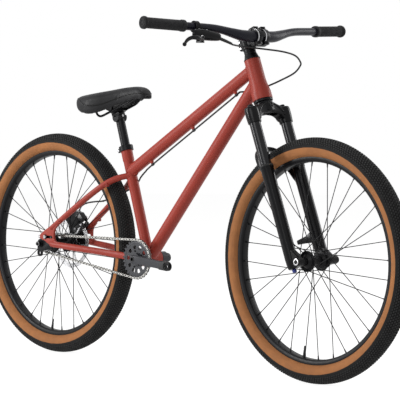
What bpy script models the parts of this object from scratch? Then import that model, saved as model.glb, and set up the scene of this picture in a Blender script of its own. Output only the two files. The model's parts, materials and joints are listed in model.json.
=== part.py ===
"""Hardtail mountain bike of the dirt-jump type, as separate pieces at their real size.

Metres, +X forward, +Y to the rider's left, +Z up. The origin is on the ground, midway between the hubs.
"""
import math

import bmesh
import bpy
from mathutils import Matrix, Vector

# Layout of the bike
WHEELBASE = 1.079
TYRE_RADIUS = 0.338
HEAD_ANGLE = 69.0
SEAT_ANGLE = 72.3
TYRE_TO_CRANK = 0.073
CRANK_DROP = 0.0275
GAP = 0.0003
MERGE_DISTANCE = 0.000001

# Fork, measured along and across the steering axis
TYRE_TO_CROWN = 0.137
FORK_LENGTH = TYRE_RADIUS + TYRE_TO_CROWN
FORK_OFFSET = 0.034
FORK_TRAVEL = 0.100
LEG_SPACING = 0.126
LEG_FORWARD = 0.006
STANCHION_RADIUS = 0.0160
CROWN_TOP = -0.0175
CROWN_BOTTOM = -0.063
SOCKET_RADIUS = STANCHION_RADIUS + 0.0043
LOWERS_TOP = -0.186
LEG_RADIUS = STANCHION_RADIUS + 0.0022
LEG_BOTTOM = -FORK_LENGTH - 0.012
STANCHION_BOTTOM = -FORK_LENGTH + 0.135
STEERER_RADIUS = 0.0143
STEERER_BASE_RADIUS = 0.0195

# Head tube and headset
HEAD_TUBE_LENGTH = 0.120
HEAD_TUBE_TOP_RADIUS = 0.0230
HEAD_TUBE_BASE_RADIUS = 0.0283
HEADSET_BASE_STACK = 0.008
HEADSET_TOP_STACK = 0.0315

# Frame tubes
TOP_TUBE_RADIUS = 0.0175
DOWN_TUBE_RADIUS = 0.0190
SEAT_TUBE_RADIUS = 0.0159
SEAT_TUBE_LENGTH = 0.345
TOP_TUBE_HEAD_DROP = 0.0255
TOP_TUBE_SEAT_HEIGHT = 0.267
STAY_TOP_HEIGHT = TOP_TUBE_SEAT_HEIGHT - 0.0114
DOWN_TUBE_HEAD_HEIGHT = 0.056
TUBE_WALL = 0.0020
BB_SHELL_RADIUS = 0.0220
BB_SHELL_WIDTH = 0.073
STAY_RADIUS = 0.0090
CHAINSTAY_HEIGHT = 0.0100
DROPOUT_THICKNESS = 0.007
HUB_WIDTH_REAR = 0.135
HUB_WIDTH_FRONT = 0.100
SLOT_FRONT = 0.0610
SLOT_REAR = 0.0270
SLOT_HALF = 0.0042
BOLT_SHANK = 0.0035
SCREW_RADIUS = 0.0020

# Seat
SEATPOST_RADIUS = 0.0136
SEATPOST_BOTTOM = SEAT_TUBE_LENGTH - 0.140
SEATPOST_TOP = SEAT_TUBE_LENGTH + 0.091
SEAT_HEAD_HEIGHT = SEAT_TUBE_LENGTH + 0.105
KEEL_RISE = 0.0080
KEEL_RADIUS = 0.0200
RAIL_RADIUS = 0.0035
RAIL_SPACING = 0.044
RAIL_SLOPE = 19.4
BASE_THICKNESS = 0.0030

# Cockpit
STEM_LENGTH = 0.048
STEM_HEIGHT = 0.040
BAR_HALF_WIDTH = 0.393
BAR_RADIUS = 0.0111
BAR_CLAMP_RADIUS = 0.0159
GRIP_LENGTH = 0.137
GRIP_RADIUS = 0.0152
GRIP_END = 0.0045
LEVER_CLAMP_Y = -(BAR_HALF_WIDTH + GRIP_END - GRIP_LENGTH - 0.0365)

# Wheels
TYRE_HALF_WIDTH = 0.0290
BEAD_RADIUS = TYRE_RADIUS - 0.0525
RIM_INNER_RADIUS = BEAD_RADIUS - 0.0155
RIM_HALF_WIDTH = 0.0160
WHEEL_SIDES = 32
ROUND = 16
ROUND_LARGE = 20
SPOKES = 32
SPOKE_WIDTH = 0.0020
SPOKE_HOLE_RADIUS = 0.0312
FLANGE_RADIUS = 0.0290
FLANGE_THICKNESS = 0.0032
FRONT_FLANGES = (-0.0350, 0.0220)
REAR_FLANGES = (-0.0200, 0.0330)
FRONT_AXLE_RADIUS = 0.0075
REAR_AXLE_RADIUS = 0.0050
ROTOR_RADIUS = 0.080
ROTOR_THICKNESS = 0.0018
ROTOR_Y = 0.053
CALIPER_INNER_Y = 0.0400
CALIPER_ARM_Y = 0.0600
PAD_THICKNESS = 0.0030
PAD_CLEARANCE = 0.0005

# Drive
CHAIN_PITCH = 0.0127
RING_TEETH = 28
COG_TEETH = 13
CHAIN_LINE = 0.050
RUN_ROLLERS = 5
CRANK_LENGTH = 0.165
CRANK_DROP_ANGLE = 4.0
SPINDLE_RADIUS = 0.0120
PEDAL_FACE_Y = 0.088
CRANK_HUB_RADIUS = 0.0190
RING_THICKNESS = 0.0020

# Hose
HOSE_RADIUS = 0.0025
HOSE_DROP = TOP_TUBE_RADIUS + 0.0105
GUIDE_SHARES = (0.159, 0.498, 0.835)

# Finishes: linear colour, roughness, metallic
RED_PAINT = ((0.445, 0.066, 0.046), 0.38, 0.0)
BLACK_PAINT = ((0.012, 0.012, 0.014), 0.28, 0.0)
BLACK_SATIN = ((0.016, 0.016, 0.018), 0.45, 0.2)
BAR_BLACK = ((0.012, 0.012, 0.020), 0.40, 0.1)
ANODISED = ((0.020, 0.020, 0.024), 0.38, 0.6)
DARK_GREY = ((0.045, 0.047, 0.052), 0.42, 0.6)
RUBBER = ((0.014, 0.014, 0.014), 0.80, 0.0)
GRIP_RUBBER = ((0.020, 0.020, 0.021), 0.75, 0.0)
SILVER = ((0.62, 0.62, 0.62), 0.30, 1.0)
BLUE = ((0.02, 0.03, 0.16), 0.35, 0.5)
VINYL = ((0.018, 0.018, 0.019), 0.50, 0.0)

HALF_BASE = WHEELBASE / 2
FRONT_HUB = Vector((HALF_BASE, 0.0, TYRE_RADIUS))
REAR_HUB = Vector((-HALF_BASE, 0.0, TYRE_RADIUS))
CRANK_CENTRE = REAR_HUB + Vector((TYRE_RADIUS + TYRE_TO_CRANK, 0.0, -CRANK_DROP))
STEERING_TURN = Matrix.Rotation(math.radians(HEAD_ANGLE - 90), 4, "Y")
SEAT_TURN = Matrix.Rotation(math.radians(SEAT_ANGLE - 90), 4, "Y")
CROWN_RACE = FRONT_HUB - STEERING_TURN @ Vector((FORK_OFFSET, 0.0, -FORK_LENGTH))
LEG_Y = LEG_SPACING / 2
HEAD_BASE = HEADSET_BASE_STACK
HEAD_TOP = HEAD_BASE + HEAD_TUBE_LENGTH
STEM_BASE = HEAD_TOP + HEADSET_TOP_STACK
STEM_CENTRE = STEM_BASE + STEM_HEIGHT / 2
BAR_CENTRE = CROWN_RACE + STEERING_TURN @ Vector((STEM_LENGTH, 0.0, STEM_CENTRE))
SLIDER_INNER_Y = HUB_WIDTH_REAR / 2
SLIDER_THICKNESS = 0.006
SLIDER_OUTER_Y = SLIDER_INNER_Y + SLIDER_THICKNESS
PLATE_INNER_Y = SLIDER_OUTER_Y + GAP
PLATE_OUTER_Y = PLATE_INNER_Y + DROPOUT_THICKNESS
PLATE_Y = (PLATE_INNER_Y + PLATE_OUTER_Y) / 2
RING_RADIUS = CHAIN_PITCH / (2 * math.sin(math.pi / RING_TEETH))
COG_RADIUS = CHAIN_PITCH / (2 * math.sin(math.pi / COG_TEETH))
SLIDER_BOLT = REAR_HUB + Vector((0.0320, 0.0, 0.0225))
CALIPER_CENTRE = REAR_HUB + Vector((0.0275, 0.0, 0.0660))


def steering_point(x, y, z):
    """World place of a point given forward of, beside and along the steering axis."""
    return CROWN_RACE + STEERING_TURN @ Vector((x, y, z))


def seat_point(x, y, z):
    """World place of a point given forward of, beside and along the seat tube axis."""
    return CRANK_CENTRE + SEAT_TURN @ Vector((x, y, z))


def saddle_pivot():
    """Centre of the cradle that the saddle tilts in."""
    return seat_point(0, 0, SEAT_HEAD_HEIGHT) + Vector((0, 0, KEEL_RISE))


# Scene helpers

def clear_scene():
    for obj in list(bpy.data.objects):
        bpy.data.objects.remove(obj, do_unlink=True)


def add_empty(name, location, turn_y=0.0, turn_x=0.0, parent=None):
    """An empty marks a joint axis. It carries the pieces that move on it."""
    empty = bpy.data.objects.new(name, None)
    empty.empty_display_size = 0.05
    bpy.context.scene.collection.objects.link(empty)
    empty.parent = parent
    empty.location = location
    empty.rotation_euler = (math.radians(turn_x), math.radians(turn_y), 0.0)
    return empty


def give_material(obj, finish):
    colour, roughness, metallic = finish
    material = bpy.data.materials.new(obj.name)
    material.use_nodes = True
    shader = material.node_tree.nodes["Principled BSDF"]
    shader.inputs["Base Color"].default_value = (*colour, 1.0)
    shader.inputs["Roughness"].default_value = roughness
    shader.inputs["Metallic"].default_value = metallic
    obj.data.materials.append(material)


def add_mesh(name, bm, finish=None, parent=None, smooth_angle=40.0):
    """Turn a bmesh into a linked object with its faces pointing out."""
    bmesh.ops.recalc_face_normals(bm, faces=bm.faces)
    mesh = bpy.data.meshes.new(name)
    bm.to_mesh(mesh)
    bm.free()
    mesh.shade_smooth()
    mesh.set_sharp_from_angle(angle=math.radians(smooth_angle))
    obj = bpy.data.objects.new(name, mesh)
    bpy.context.scene.collection.objects.link(obj)
    obj.parent = parent
    if finish is None:
        obj.hide_render = True
        obj.display_type = "WIRE"
    else:
        give_material(obj, finish)
    return obj


def boolean(obj, tool, operation):
    modifier = obj.modifiers.new(tool.name, "BOOLEAN")
    modifier.operation = operation
    modifier.solver = "EXACT"
    modifier.object = tool
    tidy = obj.modifiers.new(tool.name + "_tidy", "WELD")
    tidy.merge_threshold = MERGE_DISTANCE
    return obj


def carve(obj, *tools):
    for tool in tools:
        boolean(obj, tool, "DIFFERENCE")
    return obj


def weld(obj, *tools):
    for tool in tools:
        boolean(obj, tool, "UNION")
    return obj


# Shape helpers: each returns a bmesh

def loft(rings, closed=False):
    """Skin through rings of points, capped at both ends or closed into a loop."""
    bm = bmesh.new()
    made = [[bm.verts.new(point) for point in ring] for ring in rings]
    count = len(made[0])
    pairs = list(zip(made, made[1:]))
    if closed:
        pairs.append((made[-1], made[0]))
    for near, far in pairs:
        for i in range(count):
            bm.faces.new((near[i], near[(i + 1) % count], far[(i + 1) % count], far[i]))
    if not closed:
        bm.faces.new(made[0])
        bm.faces.new(list(reversed(made[-1])))
    return bm


def lathe(profile, sides, place=None):
    """Turn (radius, z) points round local Z. A profile that starts on the axis also ends on it."""
    turns = [2 * math.pi * k / sides for k in range(sides)]
    rings = [[(radius * math.cos(t), radius * math.sin(t), z) for t in turns]
             for radius, z in profile if radius > 0]
    bm = loft(rings, closed=profile[0][0] > 0)
    if place is not None:
        bm.transform(place)
    return bm


def facing(start, end):
    """Placement that puts local Z from start towards end."""
    start = Vector(start)
    direction = Vector(end) - start
    turn = Vector((0, 0, 1)).rotation_difference(direction)
    return Matrix.Translation(start) @ turn.to_matrix().to_4x4()


def rod(start, end, radius, sides=16, bore=0.0):
    """A round bar, or a tube open at both ends when it has a bore."""
    length = (Vector(end) - Vector(start)).length
    if bore:
        profile = [(bore, 0.0), (radius, 0.0), (radius, length), (bore, length)]
    else:
        profile = [(0.0, 0.0), (radius, 0.0), (radius, length), (0.0, length)]
    return lathe(profile, sides, facing(start, end))


def snug(radius, sides):
    """Radius of a polygonal hole that clears a round bar of the given radius all the way round."""
    return (radius + GAP) / math.cos(math.pi / sides)


def across(x, z, y_low, y_high, radius, sides=16, bore=0.0):
    """A round bar along Y."""
    return rod((x, y_low, z), (x, y_high, z), radius, sides, bore)


def plate(outline, y_low, y_high):
    """An (x, z) outline extruded along Y."""
    bm = bmesh.new()
    face = bm.faces.new([bm.verts.new((x, y_low, z)) for x, z in outline])
    made = bmesh.ops.extrude_face_region(bm, geom=[face])
    top = [v for v in made["geom"] if isinstance(v, bmesh.types.BMVert)]
    bmesh.ops.translate(bm, verts=top, vec=(0.0, y_high - y_low, 0.0))
    return bm


def slab(outline, x_low, x_high):
    """A (y, z) outline extruded along X."""
    bm = bmesh.new()
    face = bm.faces.new([bm.verts.new((x_low, y, z)) for y, z in outline])
    made = bmesh.ops.extrude_face_region(bm, geom=[face])
    top = [v for v in made["geom"] if isinstance(v, bmesh.types.BMVert)]
    bmesh.ops.translate(bm, verts=top, vec=(x_high - x_low, 0.0, 0.0))
    return bm


def block(low, high):
    """A box between two corners."""
    outline = [(low[1], low[2]), (high[1], low[2]), (high[1], high[2]), (low[1], high[2])]
    return slab(outline, low[0], high[0])


def sweep(points, sizes, sides=12):
    """Skin along a path. Each size is (half width across, half height)."""
    points = [Vector(point) for point in points]
    rings = []
    for i, point in enumerate(points):
        ahead = points[min(i + 1, len(points) - 1)]
        behind = points[max(i - 1, 0)]
        along = (ahead - behind).normalized()
        side = along.cross(Vector((0, 0, 1))).normalized()
        rise = side.cross(along)
        half_width, half_height = sizes[i]
        turns = [2 * math.pi * k / sides for k in range(sides)]
        rings.append([point + side * half_width * math.cos(t) + rise * half_height * math.sin(t)
                      for t in turns])
    return loft(rings)


def smooth_path(points, steps):
    """Points on a smooth curve through the given ones, with steps between each pair."""
    points = [Vector(point) for point in points]
    ends = [2 * points[0] - points[1], *points, 2 * points[-1] - points[-2]]
    path = []
    for a, b, c, d in zip(ends, ends[1:], ends[2:], ends[3:]):
        for k in range(steps):
            t = k / steps
            path.append(0.5 * (2 * b + (c - a) * t + (2 * a - 5 * b + 4 * c - d) * t ** 2
                               + (3 * b - a - 3 * c + d) * t ** 3))
    path.append(points[-1])
    return path


def add_wire(name, points, radius, finish, parent=None, resolution=2, radii=None):
    """A curve object with a round section, through the given points."""
    curve = bpy.data.curves.new(name, "CURVE")
    curve.dimensions = "3D"
    curve.bevel_depth = radius
    curve.bevel_resolution = resolution
    curve.use_fill_caps = True
    curve.render_resolution_u = 0
    spline = curve.splines.new("POLY")
    spline.points.add(len(points) - 1)
    for i, point in enumerate(points):
        spline.points[i].co = (*point, 1.0)
        spline.points[i].radius = radii[i] if radii else 1.0
    obj = bpy.data.objects.new(name, curve)
    bpy.context.scene.collection.objects.link(obj)
    obj.parent = parent
    give_material(obj, finish)
    return obj


def shifted(points, origin):
    """Places of points given from an origin."""
    return [origin + Vector(point) for point in points]


def mirrored(points):
    """The same points on the other side of the bike."""
    return [(point[0], -point[1], point[2]) for point in points]


# Head tube and headset, in the steering frame

def head_tube_profile(grow=0.0):
    """Outer outline of the tapered head tube, from base to top."""
    base = HEAD_TUBE_BASE_RADIUS + grow
    top = HEAD_TUBE_TOP_RADIUS + grow
    return [(base, HEAD_BASE), (base, HEAD_BASE + 0.020), (top + 0.001, HEAD_BASE + 0.047),
            (top, HEAD_BASE + 0.058), (top, HEAD_TOP)]


def make_head_tube(steering):
    cup_depth = 0.012
    base_bore = STEERER_BASE_RADIUS + 0.0040
    top_bore = STEERER_RADIUS + 0.0040
    base_seat = base_bore + 0.0018
    top_seat = top_bore + 0.0018
    inner = [(top_seat, HEAD_TOP), (top_seat, HEAD_TOP - cup_depth), (top_bore, HEAD_TOP - cup_depth),
             (top_bore, HEAD_BASE + 0.062), (base_bore, HEAD_BASE + 0.036),
             (base_bore, HEAD_BASE + cup_depth), (base_seat, HEAD_BASE + cup_depth),
             (base_seat, HEAD_BASE)]
    add_mesh("head_tube", lathe(head_tube_profile() + inner, ROUND_LARGE), RED_PAINT, steering)

    flange = 0.0030
    insert = base_seat - GAP
    bore = STEERER_BASE_RADIUS + GAP
    lip = HEAD_BASE - GAP
    edge = HEAD_TUBE_BASE_RADIUS - 0.0008
    lower = [(bore, GAP * 2), (edge, GAP * 2), (edge, lip),
             (insert, lip), (insert, HEAD_BASE + cup_depth - GAP), (bore, HEAD_BASE + cup_depth - GAP)]
    add_mesh("lower_headset_cup", lathe(lower, ROUND_LARGE), BLACK_SATIN, steering)

    insert = top_seat - GAP
    bore = STEERER_RADIUS + GAP
    lip = HEAD_TOP + GAP
    upper = [(bore, HEAD_TOP - cup_depth + GAP), (insert, HEAD_TOP - cup_depth + GAP), (insert, lip),
             (HEAD_TUBE_TOP_RADIUS + 0.0004, lip), (HEAD_TUBE_TOP_RADIUS + 0.0004, lip + flange),
             (bore, lip + flange)]
    add_mesh("upper_headset_cup", lathe(upper, ROUND), BLACK_SATIN, steering)

    base = lip + flange + GAP
    top = STEM_BASE - GAP
    cone_top = base + 0.013
    cover = [(bore, base), (HEAD_TUBE_TOP_RADIUS - 0.0008, base),
             (HEAD_TUBE_TOP_RADIUS - 0.0022, base + 0.003),
             (0.0180, cone_top), (0.0172, cone_top), (0.0172, top), (bore, top)]
    add_mesh("headset_cover", lathe(cover, ROUND), BLACK_SATIN, steering)


# Main frame tubes

def add_head_cutter(steering):
    profile = head_tube_profile(GAP)
    low = profile[0][1] - 0.03
    high = profile[-1][1] + 0.03
    closed = [(0.0, low), (profile[0][0], low), *profile[1:-1], (profile[-1][0], high), (0.0, high)]
    return add_mesh("head_tube_seat", lathe(closed, ROUND_LARGE), parent=steering)


def make_frame_tubes(steering):
    head_cutter = add_head_cutter(steering)
    bb_half = BB_SHELL_WIDTH / 2
    bb_cutter = add_mesh("bb_shell_seat", across(CRANK_CENTRE.x, CRANK_CENTRE.z, -bb_half - 0.01,
                                                 bb_half + 0.01, BB_SHELL_RADIUS + GAP, ROUND_LARGE))
    seat_cutter = add_mesh("seat_tube_seat", rod(CRANK_CENTRE, seat_point(0, 0, SEAT_TUBE_LENGTH),
                                                 SEAT_TUBE_RADIUS + GAP, ROUND_LARGE))

    head_end = steering_point(0, 0, HEAD_TOP - TOP_TUBE_HEAD_DROP)
    seat_end = seat_point(0, 0, TOP_TUBE_SEAT_HEIGHT)
    top_tube = add_mesh("top_tube", rod(seat_end, head_end, TOP_TUBE_RADIUS, ROUND,
                                        TOP_TUBE_RADIUS - TUBE_WALL), RED_PAINT)
    carve(top_tube, head_cutter, seat_cutter)
    below = Vector((0, 1, 0)).cross(head_end - seat_end).normalized()
    for k, share in enumerate(GUIDE_SHARES):
        point = seat_end.lerp(head_end, share)
        guide = rod(point + below * (TOP_TUBE_RADIUS - 0.0010),
                    point + below * (HOSE_DROP - HOSE_RADIUS - GAP), 0.0045, 8)
        weld(top_tube, add_mesh("hose_guide_%d" % k, guide))
    top_cutter = add_mesh("top_tube_seat", rod(seat_end, head_end, TOP_TUBE_RADIUS + GAP, ROUND))

    down_end = steering_point(0, 0, HEAD_BASE + DOWN_TUBE_HEAD_HEIGHT)
    down_tube = add_mesh("down_tube", rod(CRANK_CENTRE, down_end, DOWN_TUBE_RADIUS, ROUND,
                                          DOWN_TUBE_RADIUS - TUBE_WALL), RED_PAINT)
    carve(down_tube, head_cutter, top_cutter, bb_cutter, seat_cutter)

    bore = SEATPOST_RADIUS + GAP
    sleeve = SEAT_TUBE_RADIUS + 0.0012
    profile = [(bore, SEAT_TUBE_LENGTH), (bore, 0.0), (SEAT_TUBE_RADIUS, 0.0),
               (SEAT_TUBE_RADIUS, SEAT_TUBE_LENGTH - 0.050), (sleeve, SEAT_TUBE_LENGTH - 0.046),
               (sleeve, SEAT_TUBE_LENGTH)]
    seat_tube = add_mesh("seat_tube", lathe(profile, ROUND), RED_PAINT, bpy.data.objects["seat_axis"])
    carve(seat_tube, bb_cutter)

    shell = across(CRANK_CENTRE.x, CRANK_CENTRE.z, -bb_half, bb_half, BB_SHELL_RADIUS, ROUND_LARGE, 0.0175)
    add_mesh("bottom_bracket_shell", shell, RED_PAINT)
    return bb_cutter, seat_cutter, top_cutter


def make_bottom_bracket(crank_axis):
    """Cartridge with a cup at each end. The spindle turns in its bore."""
    half = BB_SHELL_WIDTH / 2
    bore = SPINDLE_RADIUS + GAP
    body = 0.0175 - GAP
    cup = BB_SHELL_RADIUS - 0.0012
    face = half + 0.0034
    bm = lathe([(bore, -face), (cup, -face), (cup, -half - GAP), (body, -half - GAP),
                (body, half - 0.004), (bore, half - 0.004)], ROUND)
    add_mesh("bottom_bracket", bm, BLACK_SATIN, crank_axis)


# Rear triangle

SEATSTAY_LOW = [(0.0565, 0.0005, 0.0490), (0.0995, -0.0038, 0.0780), (0.1545, -0.0098, 0.1150),
                (0.2095, -0.0158, 0.1510)]
SEATSTAY_HIGH = [(-0.0838, 0.0540, -0.0390), (-0.0538, 0.0420, -0.0200), (-0.0318, 0.0290, -0.0090),
                 (-0.0118, 0.0160, -0.0030), (0.0012, 0.0080, 0.0000)]
CHAINSTAY_REAR = [(0.0565, 0.0005, 0.0020), (0.0995, -0.0031, -0.0015), (0.1495, -0.0093, -0.0055),
                  (0.1995, -0.0183, -0.0095)]
CHAINSTAY_FRONT = [(-0.1615, 0.0500, 0.0140), (-0.1165, 0.0435, 0.0100), (-0.0765, 0.0375, 0.0060),
                   (-0.0415, 0.0310, 0.0025), (-0.0065, 0.0255, 0.0000)]
CHAINSTAY_HALF_WIDTHS = [0.0080, 0.0080, 0.0080, 0.0078, 0.0070, 0.0060, 0.0055, 0.0065, 0.0080]
PLATE_OUTLINE = [(0.0060, 0.0175), (0.0060, 0.0275), (0.0205, 0.0375), (0.0535, 0.0555),
                 (0.0795, 0.0705), (0.0895, 0.0615), (0.0745, 0.0480), (0.0710, 0.0380),
                 (0.0705, 0.0200), (0.0755, 0.0120), (0.0915, 0.0060), (0.0915, -0.0060),
                 (0.0685, -0.0080), (0.0585, -0.0044), (0.0305, 0.0098)]


def from_hub(points):
    """Places of points given ahead of and above the rear hub."""
    return [(REAR_HUB.x + x, REAR_HUB.z + z) for x, z in points]


def slot_outline(front, rear, z, half):
    """Outline of a slot with round ends."""
    steps = [math.pi * (k / 6 - 0.5) for k in range(7)]
    ahead = [(front + half * math.cos(t), z + half * math.sin(t)) for t in steps]
    behind = [(rear - half * math.cos(t), z - half * math.sin(t)) for t in steps]
    return ahead + behind


def make_dropout(side, sign):
    """Red plate welded between the stays, with the slot that the slider bolt clamps in."""
    low, high = sorted((sign * PLATE_INNER_Y, sign * PLATE_OUTER_Y))
    outline = from_hub(PLATE_OUTLINE)
    slot_rear = REAR_HUB.x + SLOT_REAR
    body = add_mesh(side + "_dropout", plate(outline, low, high), RED_PAINT)
    z = SLIDER_BOLT.z
    ends = slot_outline(REAR_HUB.x + SLOT_FRONT, slot_rear, z, SLOT_HALF)
    slot = add_mesh(side + "_dropout_slot", plate(ends, low - 0.01, high + 0.01))
    y = sign * PLATE_Y
    hole = add_mesh(side + "_screw_hole", rod((outline[0][0] - 0.012, y, z), (slot_rear + 0.002, y, z),
                                              SCREW_RADIUS + GAP, 12))
    carve(body, slot, hole)
    shaft_end = SLIDER_BOLT.x - BOLT_SHANK - GAP
    head_face = outline[0][0] - GAP
    shaft = add_mesh(side + "_screw_shaft", rod((head_face - 0.002, y, z), (shaft_end, y, z),
                                                SCREW_RADIUS, 12))
    head = add_mesh(side + "_tension_screw", rod((head_face - 0.0075, y, z), (head_face, y, z), 0.0044, 12),
                    SILVER)
    weld(head, shaft)
    stay_cutter = add_mesh(side + "_dropout_seat", plate(outline, low - GAP, high + GAP))
    return stay_cutter


def make_stays(side, sign, tube_cutters, plate_cutter):
    dropout = REAR_HUB + Vector((0.0, PLATE_Y, 0.0))
    seat_path = shifted(SEATSTAY_LOW, dropout) + shifted(SEATSTAY_HIGH, seat_point(0, 0, STAY_TOP_HEIGHT))
    chain_path = shifted(CHAINSTAY_REAR, dropout) + shifted(CHAINSTAY_FRONT, CRANK_CENTRE)
    if sign < 0:
        seat_path, chain_path = mirrored(seat_path), mirrored(chain_path)
    round_sizes = [(STAY_RADIUS, STAY_RADIUS)] * len(seat_path)
    seatstay = add_mesh(side + "_seatstay", sweep(seat_path, round_sizes, 14), RED_PAINT)
    bb_cutter, seat_cutter, top_cutter = tube_cutters
    carve(seatstay, seat_cutter, top_cutter, plate_cutter)
    sizes = [(half, CHAINSTAY_HEIGHT) for half in CHAINSTAY_HALF_WIDTHS]
    chainstay = add_mesh(side + "_chainstay", sweep(chain_path, sizes, 14), RED_PAINT)
    carve(chainstay, bb_cutter, seat_cutter, plate_cutter)


def disc_outline(x, z, radius, start, end, steps):
    """Points on an arc in the (x, z) plane, angles in degrees."""
    turns = [math.radians(start + (end - start) * k / steps) for k in range(steps + 1)]
    return [(x + radius * math.cos(t), z + radius * math.sin(t)) for t in turns]


def make_sliders():
    """Inner plates that hold the axle and slide along the dropouts."""
    axle = (REAR_HUB.x, REAR_HUB.z)
    hanger = (-0.0045, -0.0285)
    right = [(0.0395, 0.0320), (0.0515, 0.0260), (0.0545, 0.0070), (0.0545, -0.0145), (0.0175, -0.0200),
             *disc_outline(hanger[0], hanger[1], 0.0105, 20, -200, 12),
             *disc_outline(0.0, 0.0, 0.0150, 200, 100, 6), (0.0215, 0.0320)]
    left = [(0.0395, 0.0320), (0.0515, 0.0260), (0.0545, 0.0070), (0.0495, -0.0100), (0.0195, -0.0150),
            *disc_outline(0.0, 0.0, 0.0150, -70, -260, 8), (0.0215, 0.0320)]
    for side, sign, outline in (("right", -1, right), ("left", 1, left)):
        low, high = sorted((sign * SLIDER_INNER_Y, sign * SLIDER_OUTER_Y))
        body = add_mesh(side + "_axle_slider", plate(from_hub(outline), low, high), BLACK_SATIN)
        axle_hole = add_mesh(side + "_axle_hole", across(*axle, low - 0.01, high + 0.01,
                                                         REAR_AXLE_RADIUS + GAP, 16))
        bolt_hole = add_mesh(side + "_bolt_hole", across(SLIDER_BOLT.x, SLIDER_BOLT.z, low - 0.01,
                                                         high + 0.01, BOLT_SHANK + GAP, 12))
        if sign < 0:
            hanger_place = from_hub([hanger])[0]
            hanger_bore = across(*hanger_place, low - 0.01, high + 0.01, 0.0050, 12)
            carve(body, add_mesh("hanger_hole", hanger_bore))
        else:
            arm_outline = [(-0.0225, 0.0180), (-0.0105, 0.0140), (0.0245, 0.0140), (0.0495, 0.0300),
                           (0.0655, 0.0620), (0.0575, 0.0680), (0.0405, 0.0480), (0.0095, 0.0380),
                           (-0.0125, 0.0640), (-0.0225, 0.0620)]
            arm = add_mesh("brake_arm", plate(from_hub(arm_outline), CALIPER_ARM_Y, low + 0.002))
            room = block((axle[0] - 0.060, SLIDER_INNER_Y - GAP, axle[1] + 0.0345),
                         (axle[0] + 0.100, SLIDER_OUTER_Y + 0.010, axle[1] + 0.102))
            stay_room = add_mesh("stay_room", room)
            carve(arm, stay_room)
            weld(body, arm)
        carve(body, axle_hole, bolt_hole)
        inner_end = sign * (SLIDER_INNER_Y + 0.0006)
        face = sign * (PLATE_OUTER_Y + GAP)
        shank = add_mesh(side + "_bolt_shank", across(SLIDER_BOLT.x, SLIDER_BOLT.z, *sorted(
            (inner_end, face + sign * 0.001)), BOLT_SHANK, 12))
        head = add_mesh(side + "_slider_bolt", across(SLIDER_BOLT.x, SLIDER_BOLT.z, *sorted(
            (face, face + sign * 0.0045)), 0.0073, 16), SILVER)
        weld(head, shank)


# Caliper and rotor, at the left of the rear hub

def make_caliper():
    x, _, z = CALIPER_CENTRE
    body_outline = [(x - 0.044, z + 0.004), (x - 0.038, z + 0.024), (x - 0.010, z + 0.034),
                    (x + 0.022, z + 0.028), (x + 0.040, z + 0.010), (x + 0.036, z - 0.001),
                    (x + 0.020, z + 0.003), (x + 0.014, z - 0.012), (x - 0.020, z - 0.020),
                    (x - 0.034, z - 0.006)]
    casting = plate(body_outline, CALIPER_INNER_Y, CALIPER_ARM_Y - GAP)
    body = add_mesh("brake_caliper", casting, BLACK_PAINT)
    reach = PAD_CLEARANCE + PAD_THICKNESS + ROTOR_THICKNESS / 2 + GAP + 0.0002
    slot_outline_points = [(x - 0.060, z + 0.016), (x - 0.020, z + 0.019), (x + 0.018, z + 0.010),
                           (x + 0.060, z + 0.006), (x + 0.060, z - 0.040), (x - 0.060, z - 0.040)]
    slot = add_mesh("rotor_slot", plate(slot_outline_points, ROTOR_Y - reach, ROTOR_Y + reach))
    carve(body, slot)
    pad_outline = [(x - 0.013, z - 0.013), (x + 0.011, z - 0.010), (x + 0.014, z + 0.006),
                   (x - 0.006, z + 0.011), (x - 0.016, z + 0.009)]
    for name, sign in (("inner_brake_pad", -1), ("outer_brake_pad", 1)):
        near = ROTOR_Y + sign * (ROTOR_THICKNESS / 2 + PAD_CLEARANCE)
        far = near + sign * PAD_THICKNESS
        low, high = sorted((near, far))
        add_mesh(name, plate(pad_outline, low, high), SILVER)


def make_rotor(rear_axis):
    half = ROTOR_THICKNESS / 2
    low, high = ROTOR_Y - half, ROTOR_Y + half
    band = lathe([(0.0655, low), (ROTOR_RADIUS, low), (ROTOR_RADIUS, high), (0.0655, high)], 32)
    rotor = add_mesh("brake_rotor", band, SILVER, rear_axis)
    centre = lathe([(0.0178, low), (0.0265, low), (0.0265, high), (0.0178, high)], 24)
    weld(rotor, add_mesh("rotor_centre", centre, parent=rear_axis))
    arms = 6
    for k in range(arms):
        turn = Matrix.Rotation(2 * math.pi * k / arms, 4, "Z")
        arm = block((0.0230, -0.0035, low + 0.0001), (0.0690, 0.0035, high - 0.0001))
        arm.transform(turn)
        weld(rotor, add_mesh("rotor_arm_%d" % k, arm, parent=rear_axis))


# Wheels, in a frame whose Z is the hub's axis towards the left

def tyre_profile():
    """Section of the tyre: a crowned carcass open towards the rim."""
    outer = [(BEAD_RADIUS - 0.0050, 0.0125), (BEAD_RADIUS + 0.0020, 0.0160),
             (TYRE_RADIUS - 0.0360, TYRE_HALF_WIDTH - 0.0015), (TYRE_RADIUS - 0.0260, TYRE_HALF_WIDTH),
             (TYRE_RADIUS - 0.0140, 0.0258), (TYRE_RADIUS - 0.0035, 0.0145)]
    inner = [(TYRE_RADIUS - 0.0100, 0.0125), (TYRE_RADIUS - 0.0290, 0.0255), (BEAD_RADIUS - 0.0050, 0.0095)]
    right = [(radius, -y) for radius, y in outer]
    left = [(radius, y) for radius, y in reversed(outer)]
    back = inner[::-1]
    front = [(radius, -y) for radius, y in inner]
    return right + [(TYRE_RADIUS, 0.0)] + left + back + front


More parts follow.
